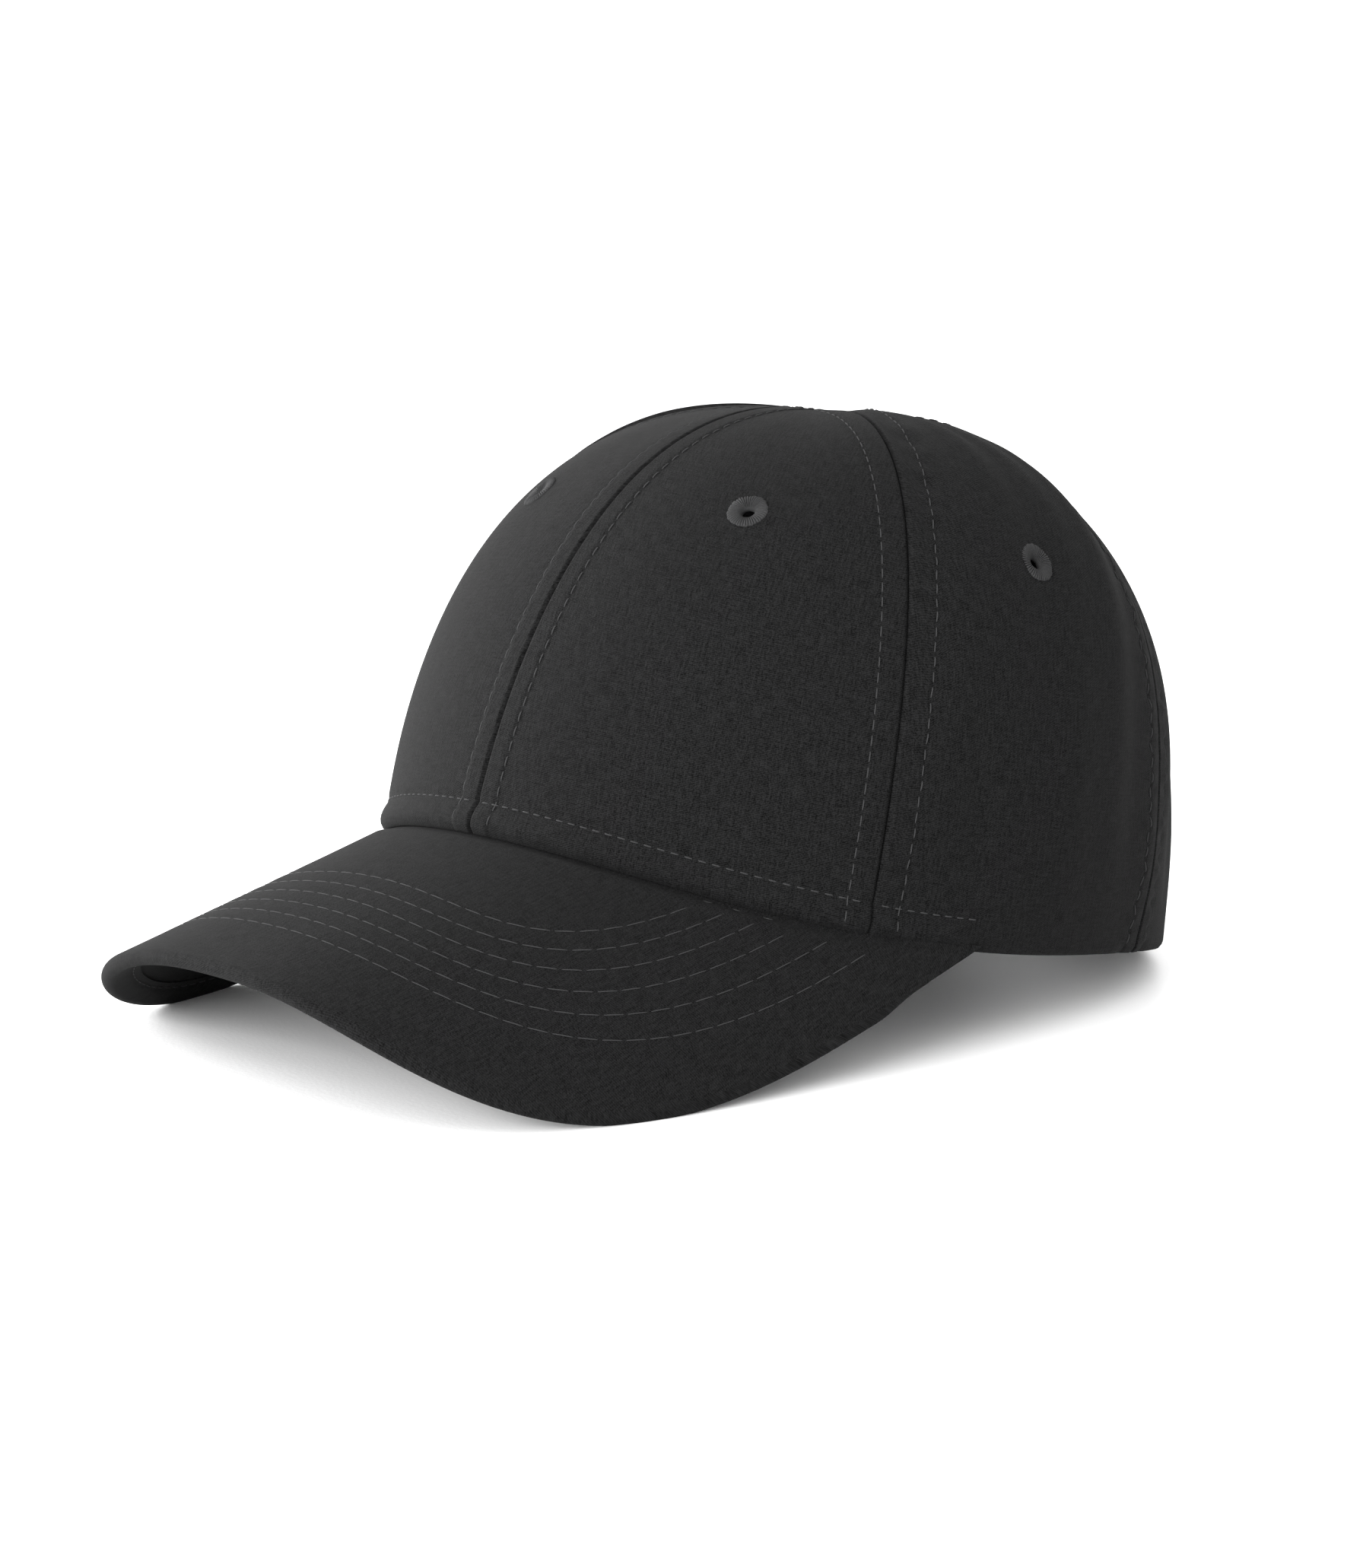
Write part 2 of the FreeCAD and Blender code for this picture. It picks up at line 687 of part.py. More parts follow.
def make_strap():
    """Strap of two plies that passes behind the edges of both rear panels."""
    low, high = "Sizes.strap_low", "Sizes.strap_low + Sizes.strap_width"
    outside = "Sizes.panel_thickness + Sizes.strap_clearance"
    inside = outside + " + Sizes.strap_thickness"
    base = size("strap_low")
    sector = "2 * (asin(Sizes.opening_half_width / (%s)) + Sizes.strap_tuck * 1 deg)" % CIRCLE
    outer = band_cone("strap_outer", outside, low, high, base, sector, 90 - strap_half_angle())
    inner = band_cone("strap_inner", inside, low, high, base, "360")
    piece(cut("strap_cut", outer, inner), "adjuster_strap")


def buckle_place():
    """Middle of the strap at the buckle: X along the strap, Y outwards, Z up the strap."""
    height = size("strap_low") + size("strap_width") / 2
    depth = cloth + size("strap_clearance") + size("strap_thickness") / 2
    radius = strap_circle() - depth / math.cos(LEAN) - math.tan(LEAN) * height
    angle = math.radians(size("buckle_angle"))
    centre = Vector(radius * math.sin(angle), strap_axis_y() + radius * math.cos(angle), height)
    spin = FreeCAD.Rotation(Vector(0, 0, 1), -size("buckle_angle"))
    tilt = FreeCAD.Rotation(Vector(1, 0, 0), math.degrees(LEAN))
    return FreeCAD.Placement(centre, spin.multiply(tilt))


def upright_pin(name, radius, half, half_text):
    """Round bar along the lever's hinge axis; half its length is given as number and text."""
    item = bound("Part::Cylinder", name, Radius=radius, Height="2 * (%s)" % half_text)
    item.Placement.Base = Vector(-size("pin_setback"), size("pin_height"), -half)
    return item


def base_floor():
    """Underside of the base plate, measured from the middle of the strap."""
    return -size("strap_thickness") / 2 - size("base_depth") - size("base_thickness")


def make_buckle():
    """Base plate with two ears, hinge pin and cam lever, all drawn flat round the strap."""
    place = buckle_place()
    floor = base_floor()
    inner = size("strap_width") / 2 / math.cos(LEAN) + size("base_side_gap")
    inner_text = "Sizes.strap_width / 2 / %.6f + Sizes.base_side_gap" % math.cos(LEAN)
    outer = inner + size("ear_thickness")
    outer_text = inner_text + " + Sizes.ear_thickness"
    back = -size("base_back")
    plate = box("base_plate", (back, floor, -outer), "Sizes.base_back + Sizes.base_front",
                "Sizes.base_thickness", "2 * (%s)" % outer_text)
    slot_start = size("base_front") - size("bar_width") - size("slot_width")
    slot = box("base_slot", (slot_start, floor - SPARE, -size("tab_width") / 2 - SPARE), "Sizes.slot_width",
               "Sizes.base_thickness + %f" % (2 * SPARE), "Sizes.tab_width + %f" % (2 * SPARE))
    rise = "Sizes.ear_reach + Sizes.strap_thickness / 2 + Sizes.base_depth + Sizes.base_thickness"
    high = box("ear_high", (back, floor, inner), "Sizes.ear_length", rise, "Sizes.ear_thickness")
    low = box("ear_low", (back, floor, -outer), "Sizes.ear_length", rise, "Sizes.ear_thickness")
    bore = upright_pin("ear_bore", "Sizes.pin_radius", outer + SPARE, "%s + %f" % (outer_text, SPARE))
    piece(cut("base_cut", fuse("base_body", plate, high, low), slot, bore), "buckle_base", place)

    pin = upright_pin("pin_bar", "Sizes.pin_radius", outer, outer_text)
    piece(pin, "buckle_pin", place.multiply(pin.Placement))

    half = inner - size("lever_side_gap")
    half_text = inner_text + " - Sizes.lever_side_gap"
    under = size("pin_height") + size("barrel_radius") - size("lever_thickness")
    tip = size("lever_length") - size("pin_setback") - size("lever_thickness")
    width = "2 * (%s)" % half_text
    barrel = upright_pin("lever_barrel", "Sizes.barrel_radius", half, half_text)
    blade = box("lever_blade", (-size("pin_setback"), under, -half), "Sizes.lever_length",
                "Sizes.lever_thickness", width)
    lip = box("lever_lip", (tip, under, -half), "Sizes.lever_thickness",
              "Sizes.lever_thickness + Sizes.lip_height", width)
    way = upright_pin("lever_bore", "Sizes.pin_radius + Sizes.pin_clearance", outer, outer_text)
    piece(cut("lever_cut", fuse("lever_body", barrel, blade, lip), way), "buckle_lever", place)


def make_tab():
    """Folded tab that holds the buckle's bar and is sewn to the end of the sweatband."""
    low = "Sizes.strap_low + Sizes.strap_width / 2 - Sizes.tab_width / 2"
    high = "Sizes.strap_low + Sizes.strap_width / 2 + Sizes.tab_width / 2"
    base = size("strap_low") + size("strap_width") / 2 - size("tab_width") / 2
    outside = "Sizes.panel_thickness + 2 * Sizes.strap_clearance + Sizes.strap_thickness"
    sector = "asin(Sizes.opening_half_width / (%s))" % CIRCLE
    sector += " + (Sizes.strap_tuck - Sizes.buckle_angle - Sizes.tab_start_angle) * 1 deg"
    outer = band_cone("tab_outer", outside, low, high, base, sector, 90 - strap_half_angle())
    inner = band_cone("tab_inner", outside + " + Sizes.tab_thickness", low, high, base, "360")
    bar_start = size("base_front") - size("bar_width")
    bar = box("tab_bar_room", (0, 0, 0), "Sizes.bar_width", "Sizes.base_thickness",
              "2 * Sizes.tab_width")
    corner = FreeCAD.Placement(Vector(bar_start, base_floor(), -size("tab_width")), FreeCAD.Rotation())
    bar.Placement = buckle_place().multiply(corner)
    beyond = box("tab_beyond", (joint_line(), 0, -BELOW), "Sizes.crown_half_width",
                 "2 * Sizes.crown_rear_depth", "Sizes.crown_height")
    piece(cut("tab_cut", outer, inner, bar, beyond), "buckle_tab")


# ---------------------------------------------------------------- build

make_panels()
make_stiffeners()
make_tapes()
make_sweatband()
make_binding()
make_visor()
make_strap()
make_buckle()
make_tab()
doc.recompute()

angle = standing_angle()
turn_up = FreeCAD.Placement(Vector(), FreeCAD.Rotation(Vector(1, 0, 0), -math.degrees(angle)))
box_all = FreeCAD.BoundBox()
for item, local in pieces:
    shape = item.Shape.copy()
    shape.Placement = turn_up.multiply(local)
    for point in shape.tessellate(0.1)[0]:
        box_all.add(point)
shift = Vector(-(box_all.XMin + box_all.XMax) / 2, -(box_all.YMin + box_all.YMax) / 2, -box_all.ZMin)
stand = FreeCAD.Placement(shift, turn_up.Rotation)
for item, local in pieces:
    item.Placement = stand.multiply(local)
doc.recompute()

for item in doc.Objects:
    if "Invalid" in item.State or "Error" in item.State:
        raise RuntimeError("%s did not recompute: %s" % (item.Name, item.State))
os.makedirs("parts", exist_ok=True)
for item, local in pieces:
    shape = item.Shape
    if shape.isNull() or not shape.isValid() or not shape.Solids:
        raise RuntimeError("%s has no valid solid" % item.Label)
    shape.exportStep("parts/%s.step" % item.Label)
    print("%-28s %2d solid(s) %9.1f mm3" % (item.Label, len(shape.Solids), shape.Volume))
print("nose-up angle %.3f deg, shift %s" % (math.degrees(angle), shift))
print("size X %.2f Y %.2f Z %.2f" % (box_all.XLength, box_all.YLength, box_all.ZLength))
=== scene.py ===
"""Structured six-panel baseball cap: cloth, stitching, visor, lining and rear closure round the frame.

Crown formulas use a level crown frame: visor towards -Y, wearer's left +X, Z up. A turn is
measured in radians from the nose and a share runs up the profile, 0 at the base edge and 1 at
the top. The head opening's mount says how that frame stands in the part's own frame.
"""
import json
import math

import bmesh
import bpy
import numpy as np
from bpy.props import FloatProperty, FloatVectorProperty, IntProperty, PointerProperty
from bpy.types import Operator, Panel, PropertyGroup
from mathutils import Matrix, Vector


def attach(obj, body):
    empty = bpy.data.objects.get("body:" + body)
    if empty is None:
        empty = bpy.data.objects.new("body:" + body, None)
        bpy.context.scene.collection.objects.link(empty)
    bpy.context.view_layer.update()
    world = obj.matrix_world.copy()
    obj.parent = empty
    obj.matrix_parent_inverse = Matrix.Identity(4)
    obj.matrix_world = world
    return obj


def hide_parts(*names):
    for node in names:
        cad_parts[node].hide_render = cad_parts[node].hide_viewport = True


bl_info = {
    "name": "Baseball Cap",
    "version": (1, 0, 0),
    "blender": (4, 5, 0),
    "location": "View3D > Sidebar > Cap",
    "description": "Builds the cloth, stitching, visor and closure of a six-panel cap",
    "category": "Add Mesh",
}

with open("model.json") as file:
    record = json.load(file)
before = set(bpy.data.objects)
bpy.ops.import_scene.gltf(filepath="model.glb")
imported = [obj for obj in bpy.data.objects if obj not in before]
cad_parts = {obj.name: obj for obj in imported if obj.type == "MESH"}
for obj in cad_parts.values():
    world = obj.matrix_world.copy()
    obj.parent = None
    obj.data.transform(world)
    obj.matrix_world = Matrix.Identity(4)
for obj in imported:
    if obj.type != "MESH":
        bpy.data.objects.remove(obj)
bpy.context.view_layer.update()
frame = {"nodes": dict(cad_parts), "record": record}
MOUNT = frame["record"]["mounts"][0]
TAU = 2 * math.pi
STEP = 1e-4  # parameter step for slopes
# lengths in metres
BOARD_GAP = 0.00005  # between the visor's board and its cloths
LINING_GAP = 0.0001  # between the crown cloth and what lies behind it
ROOT_PAST = 0.0022  # visor cloth inside the crown's base edge, and as much again at the corners
UNDER_CLOTH = 0.0005  # from the board to the outside of the visor's under cloth
TURNED_EDGE = 0.0064  # upper visor cloth turned in below the rim
RIM_ROW = 0.0046  # from the rim to the row that holds the turned edge
CREASE = 0.00022  # depth of the dent along that row


# ---------------------------------------------------------------- sizes and colours


def length(name, text, mm):
    """Length property with its default given in millimetres."""
    return FloatProperty(name=name, description=text, default=mm / 1000, unit="LENGTH", precision=5)


def turn(name, text, degrees):
    """Angle property with its default given in degrees."""
    return FloatProperty(name=name, description=text, default=math.radians(degrees), unit="ROTATION")


def factor(name, text, value):
    """Plain number property."""
    return FloatProperty(name=name, description=text, default=value, subtype="FACTOR", precision=4)


def colour(name, text, red, green, blue):
    """Colour property, linear."""
    return FloatVectorProperty(name=name, description=text, default=(red, green, blue), size=3,
                               subtype="COLOR", min=0, max=1)


class CapCrown(PropertyGroup):
    """Blank shape of the crown, measured to the outside of the cloth."""
    half_width: length("Half width", "Half the width of the base outline", 88.7)
    front_depth: length("Front depth", "Crown axis to the front of the base outline", 89.5)
    rear_depth: length("Rear depth", "Crown axis to the back of the base outline", 111.5)
    height: length("Height", "Top of the crown above its base plane", 114)
    front_lean: length("Front lean", "Sideways pull of the front profile", -6.6)
    side_lean: length("Side lean", "Sideways pull of the side profile", 15)
    rear_lean: length("Rear lean", "Sideways pull of the rear profile", -20)
    front_rise: factor("Front rise", "Upward pull of the front profile, share of the height", 0.754)
    side_rise: factor("Side rise", "Upward pull of the side profile, share of the height", 1.184)
    rear_rise: factor("Rear rise", "Upward pull of the rear profile, share of the height", 0.86)
    front_share: factor("Front turn-in", "Share of the radius where the front turns in", 0.41)
    side_share: factor("Side turn-in", "Share of the radius where the side turns in", 0.09)
    rear_share: factor("Rear turn-in", "Share of the radius where the rear turns in", 0.54)
    side_dip: length("Side dip", "Half the dip of the base edge at the sides", 2.8)
    front_lift: length("Front lift", "Half the lift of the base edge at the front", 1.6)
    front_seam: turn("Front side seam", "Turn from the nose", 62.9)
    rear_seam: turn("Side rear seam", "Turn from the nose", 120.3)


class CapSewing(PropertyGroup):
    """Cloth, seams, stitches and eyelets."""
    cloth: length("Cloth", "Thickness of the crown cloth", 1.0)
    buckram: length("Buckram", "Thickness of the buckram behind the front panels", 0.7)
    tape: length("Tape", "Thickness of the seam tape", 0.5)
    tape_width: length("Tape width", "Width of the seam tape", 12)
    groove: length("Seam groove", "Depth of the groove between two panels", 0.75)
    row_gap: length("Row gap", "Seam to each topstitch row", 6.0)
    dash: length("Stitch", "Length of one topstitch on the cloth", 2.45)
    pitch: length("Stitch pitch", "One topstitch to the next", 3.5)
    thread: length("Thread", "Thickness of the sewing thread", 0.32)
    hem: length("Hem", "Hem row above the base edge", 7.2)
    hem_end: turn("Hem end", "Turn from the nose where the hem row ends", 80.5)
    eyelet: length("Eyelet", "Outside radius of the embroidered ring", 4.7)
    eyelet_hole: length("Eyelet hole", "Radius of the clear hole", 1.4)
    eyelet_threads: IntProperty(name="Eyelet threads", description="Radial threads in one ring",
                                default=44, min=12)
    band: length("Sweatband", "Thickness of the folded sweatband", 1.2)
    band_height: length("Sweatband height", "Height of the folded sweatband", 32)
    pocket: length("Pocket", "Extra inset of the sweatband at the back", 5.4)


class CapVisor(PropertyGroup):
    """Curved visor with its covers and stitch rows."""
    reach: length("Reach", "Front of the crown to the middle of the rim, in plan", 65.5)
    root: turn("Root", "Turn from the nose where the visor meets the crown", 79.5)
    outline: factor("Outline power", "Squareness of the rim in plan", 2.97)
    arch: factor("Arch power", "Squareness of the arch across", 2.63)
    slope: factor("Slope", "Fall of the rim for each unit forward", 0.66)
    level: length("Level", "Height of the falling line at the crown's front", 10.9)
    side_cut: turn("Side cut", "Angle trimmed off each corner along the rim", 1.6)
    board: length("Board", "Thickness of the stiff board", 2.0)
    cover: length("Cover", "Thickness of the visor cloth", 0.9)
    rows: IntProperty(name="Rows", description="Stitch rows across the visor", default=6, min=1)
    outer_side: length("Outer row side", "Rim to the outermost row at the sides", 6.8)
    outer_front: length("Outer row front", "Rim to the outermost row at the front", 17.2)
    inner_side: length("Inner row side", "Rim to the innermost row at the sides", 29)
    inner_front: length("Inner row front", "Rim to the innermost row at the front", 42.5)
    dash: length("Stitch", "Length of one stitch on the visor", 4.6)
    pitch: length("Stitch pitch", "One stitch to the next", 5.3)


class CapClosure(PropertyGroup):
    """Rear opening, strap and buckle."""
    half_width: length("Half width", "Half the width of the rear opening", 33)
    spring: length("Spring", "Height where the arch starts to round", 12)
    binding: length("Binding", "Width of the tape inside the arch", 9)
    strap_low: length("Strap low", "Lower edge of the strap above the base plane", 4)
    strap_width: length("Strap width", "Upright width of the strap", 19)
    strap: length("Strap", "Thickness of the strap", 1.2)
    clearance: length("Clearance", "Strap to the cloth on each side", 0.3)
    tuck: turn("Tuck", "Strap behind each edge of the opening", 8.1)
    tab_width: length("Tab width", "Upright width of the buckle's tab", 15)
    tab: length("Tab", "Thickness of the folded tab", 2.3)
    buckle: turn("Buckle", "Place of the buckle along the strap", 13)
    tab_start: turn("Tab start", "Fold of the tab past the middle of the buckle", 4.2)


class CapColours(PropertyGroup):
    """Finishes."""
    cloth: colour("Cloth", "Black cotton twill", 0.0004, 0.0004, 0.0004)
    slub: colour("Slub", "Lighter yarns in the cloth", 0.0118, 0.0118, 0.0120)
    thread: colour("Thread", "Sewing thread", 0.028, 0.028, 0.0285)
    lining: colour("Lining", "Sweatband and seam tape", 0.008, 0.008, 0.0085)
    buckram: colour("Buckram", "Stiff open weave behind the front panels", 0.55, 0.55, 0.52)
    metal: colour("Metal", "Buckle", 0.30, 0.29, 0.28)
    board: colour("Board", "Moulded board in the visor", 0.02, 0.02, 0.02)
    floor: colour("Floor", "Studio floor", 0.90, 0.90, 0.90)


def sizes(group):
    """One of the scene's groups of sizes: crown, sewing, visor, closure or colours."""
    return getattr(bpy.context.scene, "cap_" + group)


# ---------------------------------------------------------------- meshes from grids


def standing(points):
    """Crown frame to the part's frame: a turn about X that lifts the visor, then a shift."""
    sine, cosine = -MOUNT["axis"][1], -MOUNT["axis"][2]
    x, y, z = points[..., 0], points[..., 1], points[..., 2]
    turned = np.stack([x, cosine * y + sine * z, cosine * z - sine * y], -1)
    return turned + np.array(MOUNT["pos_m"])


def mesh_piece(name, points, faces, material, body="crown", uv=None, sharp=50, weld=1e-7):
    """Object from points in the crown frame and rows of corner numbers, welded where points meet.

    A map is given for each point, in metres, and goes to every corner that uses the point.
    """
    used, corners = np.unique(np.concatenate([np.ravel(block) for block in faces]), return_inverse=True)
    blocks, start = [], 0
    for block in faces:
        blocks.extend(corners[start:start + block.size].reshape(block.shape).tolist())
        start += block.size
    mesh = bpy.data.meshes.new(name)
    mesh.from_pydata(standing(points.reshape(-1, 3)[used]).tolist(), [], blocks)
    if uv is not None:
        layer = mesh.uv_layers.new(name="cloth")
        layer.data.foreach_set("uv", uv.reshape(-1, 2)[used][corners].astype(np.float32).ravel())
    if weld:
        work = bmesh.new()
        work.from_mesh(mesh)
        bmesh.ops.remove_doubles(work, verts=work.verts, dist=weld)
        work.to_mesh(mesh)
        work.free()
    mesh.shade_smooth()
    mesh.set_sharp_from_angle(angle=math.radians(sharp))
    mesh.materials.append(material)
    piece = bpy.data.objects.new(name, mesh)
    link(piece)
    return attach(piece, body) or piece


def grid_faces(rows, columns, keep=None, first=0):
    """Quads of a grid, in rows of four corner numbers; keep says which of them stay."""
    number = np.arange(rows * columns).reshape(rows, columns) + first
    quads = np.stack([number[:-1, :-1], number[1:, :-1], number[1:, 1:], number[:-1, 1:]], -1)
    quads = quads.reshape(-1, 4)
    return quads if keep is None else quads[keep.ravel()]


def shell(name, outer, inner, material, keep=None, uv=None, **more):
    """Closed shell: two grids of points, and a wall along every edge that only one quad uses."""
    rows, columns = outer.shape[:2]
    quads = grid_faces(rows, columns, keep)
    count = rows * columns
    edges = np.concatenate([quads[:, [0, 1]], quads[:, [1, 2]], quads[:, [2, 3]], quads[:, [3, 0]]])
    code = edges[:, 0] * count + edges[:, 1]
    back = edges[:, 1] * count + edges[:, 0]
    rim = edges[~np.isin(code, back)]
    walls = np.stack([rim[:, 1], rim[:, 0], rim[:, 0] + count, rim[:, 1] + count], -1)
    points = np.concatenate([outer.reshape(-1, 3), inner.reshape(-1, 3)])
    both = None if uv is None else np.concatenate([uv.reshape(-1, 2)] * 2)
    return mesh_piece(name, points, [quads, quads[:, ::-1] + count, walls], material, uv=both, **more)


def tube(name, rings, material, uv=None, closed=False, **more):
    """Closed sections carried along a path: rings[path, section]; open ends get a flat cap."""
    paths, around = rings.shape[:2]
    number = np.arange(paths * around).reshape(paths, around)
    if closed:
        number = np.concatenate([number, number[:1]])
    wrapped = np.concatenate([number, number[:, :1]], 1)
    quads = np.stack([wrapped[:-1, :-1], wrapped[1:, :-1], wrapped[1:, 1:], wrapped[:-1, 1:]], -1)
    faces = [quads.reshape(-1, 4)]
    if not closed:
        faces += [number[:1], number[-1:, ::-1]]
    return mesh_piece(name, rings, faces, material, uv=uv, **more)


def dress(node):
    """Hides the model's node that a piece stands for."""
    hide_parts(node)


def link(thing):
    """Puts an object in the scene."""
    bpy.context.scene.collection.objects.link(thing)


def unit(vectors):
    """Vectors scaled to length one; a vector of no length points up."""
    size = np.linalg.norm(vectors, axis=-1, keepdims=True)
    return np.where(size > 1e-12, vectors / np.maximum(size, 1e-12), np.array([0.0, 0.0, 1.0]))


def smooth(value):
    """Smooth step: 3v^2 - 2v^3, held at 0 below 0 and at 1 above 1."""
    value = np.clip(value, 0, 1)
    return value * value * (3 - 2 * value)


def bump(distance, width):
    """Bell: e to the minus square of distance over width."""
    return np.exp(-(distance / width) ** 2)


def lengths(path):
    """Distance along a path of points from its start to each point."""
    return np.concatenate([[0.0], np.cumsum(np.linalg.norm(np.diff(path, axis=0), axis=1))])


def even(values, path, count):
    """Values re-spaced so that their points on the path lie at even distances."""
    along = lengths(path)
    return np.interp(np.linspace(0, along[-1], count), along, values)


# ---------------------------------------------------------------- crown surface


def base_level(turns):
    """Base edge: a dip that goes with the cosine of twice the turn, a lift with that of three times."""
    c = sizes("crown")
    return c.side_dip * (np.cos(2 * turns) - 1) + c.front_lift * (np.cos(3 * turns) + 1)


def crown(turns, shares):
    """Outside of the crown: two half ellipses carried up a cubic Bezier profile.

    The profile starts at the base edge, is pulled by lean and rise, then by the turn-in share of
    the radius at full height, and ends on the axis. The pulls go from their front or rear value
    to their side value with the squared sine of the turn.
    """
    c = sizes("crown")
    front = np.cos(turns) > 0
    across = np.sin(turns) ** 2

    def mixed(name):
        end = np.where(front, getattr(c, "front_" + name), getattr(c, "rear_" + name))
        return across * getattr(c, "side_" + name) + (1 - across) * end
    depth = np.where(front, c.front_depth, c.rear_depth)
    radius = 1 / np.hypot(np.sin(turns) / c.half_width, np.cos(turns) / depth)
    rest = 1 - shares
    start, pull, turn_in, top = rest ** 3, 3 * shares * rest ** 2, 3 * shares ** 2 * rest, shares ** 3
    out = start * radius + pull * (radius + mixed("lean")) + turn_in * radius * mixed("share")
    level = base_level(turns)
    up = start * level + pull * (level + mixed("rise") * c.height) + (turn_in + top) * c.height
    return np.stack([out * np.sin(turns), -out * np.cos(turns), up], -1)


def crown_normal(turns, shares):
    """Outward normal of the crown: cross product of its slopes along the turn and up the profile."""
    along = crown(turns + STEP, shares) - crown(turns - STEP, shares)
    up = crown(turns, np.minimum(shares + STEP, 1)) - crown(turns, np.maximum(shares - STEP, 0))
    return unit(np.cross(along, up))


def on_crown(turns, shares, lift):
    """Point that stands a given height off the crown, inside it where the height is below zero."""
    return crown(turns, shares) + crown_normal(turns, shares) * np.asarray(lift)[..., None]


def plan_radius(turns, shares):
    """Distance of the crown from its axis."""
    return np.linalg.norm(crown(turns, shares)[..., :2], axis=-1)


def share_at(turns, rise):
    """Share of the profile at a height above the base edge, by halving an interval."""
    turns, rise = np.broadcast_arrays(turns, rise)
    low, high = np.zeros(turns.shape), np.full(turns.shape, 0.9)
    for _ in range(30):
        middle = (low + high) / 2
        under = crown(turns, middle)[..., 2] < base_level(turns) + rise
        low, high = np.where(under, middle, low), np.where(under, high, middle)
    return low


def height_up(turns, shares):
    """Height above the base edge at the same turn."""
    return crown(turns, shares)[..., 2] - base_level(turns)


SEAMS = (("front", 0.0), ("front_left", 1.0), ("side_left", 2.0), ("rear", 3.0), ("side_right", -2.0),
         ("front_right", -1.0))


def seam_turn(step):
    """Turn of a seam: 0 the nose, 1 front to side, 2 side to rear, 3 the back; minus is the right."""
    c = sizes("crown")
    return math.copysign(1, step) * [0.0, c.front_seam, c.rear_seam, math.pi][abs(int(step))]


def seam_distance(turns, shares, step):
    """Distance from a seam along the cloth: the difference in turn times the distance from the axis."""
    gap = np.abs(turns - seam_turn(step))
    return np.minimum(gap, TAU - gap) * plan_radius(turns, shares)


def arch_distance(x, z):
    """Distance outside the rear arch: from two upright legs, or from a half circle on top of them."""
    s = sizes("closure")
    return np.where(z > s.spring, np.hypot(x, z - s.spring), np.abs(x)) - s.half_width


def relief(turns, shares, ends, soft):
    """Height of the cloth off the blank crown.

    Each seam sinks as a bell, its allowance lifts the cloth out to the topstitch row, and the row
    dents it. The hem bulges below its row and tucks in at the edge. Soft panels add shallow folds:
    sums of sines of turn and height, strongest half way up and none beside the rear arch, and puckers
    along the rows.
    """
    s = sizes("sewing")
    up = height_up(turns, shares)
    radius = plan_radius(turns, shares)
    lift = np.zeros(turns.shape)
    for step in ends:
        away = seam_distance(turns, shares, step)
        near_top = smooth(radius / 0.016)
        allowance = 0.00026 * smooth(away / 0.0009) * smooth((s.row_gap + 0.0008 - away) / 0.0013)
        lift += near_top * (allowance - 0.00018 * bump(away - s.row_gap, 0.0006))
        lift -= s.groove * bump(away, 0.00042) * (0.4 + 0.6 * near_top)
        waves = np.sin(up / 0.00085 + 5 * step) + 0.8 * np.sin(up / 0.0019 + 2 * step)
        lift += (0.00020 * soft + 0.00003) * waves * bump(away - s.row_gap, 0.0030) * near_top
    hem = smooth((s.hem_end - np.abs(turns)) / 0.06)
    bulge = 0.0011 * bump(up - 0.42 * s.hem, 0.38 * s.hem) - 0.0004 * bump(up - s.hem, 0.0009)
    lift += hem * bulge
    lift -= 0.0009 * (1 - smooth(up / 0.0014))
    points = crown(turns, shares)
    arch = np.where(points[..., 1] > 0, arch_distance(points[..., 0], points[..., 2]), 1.0)
    middle = smooth(up / 0.03) * smooth(radius / 0.05) * smooth((arch - 0.005) / 0.02)
    folds = np.sin(7 * turns + up / 0.021) * np.sin(up / 0.034 + 1.7) + 0.6 * np.sin(13 * turns - up / 0.027)
    upright = np.sin(31 * turns + 1.4 * np.sin(up / 0.03))
    lift += (0.00065 * soft + 0.00012) * middle * (folds + 0.9) + 0.00022 * soft * middle * upright
    return lift


# ---------------------------------------------------------------- crown panels

# name, seam on each side, eyelet's turn in degrees and its share of the profile
PANELS = (
    ("front_left", 0, 1, 33, 0.403), ("front_right", -1, 0, -33, 0.403),
    ("side_left", 1, 2, 88, 0.314), ("side_right", -2, -1, -88, 0.314),
    ("rear_left", 2, 3, 148, 0.36), ("rear_right", -3, -2, -148, 0.36),
)
PANEL_COLUMNS, PANEL_ROWS = 128, 196


def clear_field(turns, shares, eyelet, rear):
    """Distance from the nearest opening in a panel: its eyelet's hole or the rear arch."""
    points = crown(turns, shares)
    centre = crown(np.array(eyelet[0]), np.array(eyelet[1]))
    field = np.linalg.norm(points - centre, axis=-1) - sizes("sewing").eyelet_hole - 0.0009
    if rear:
        field = np.minimum(field, arch_distance(points[..., 0], points[..., 2]))
    return field


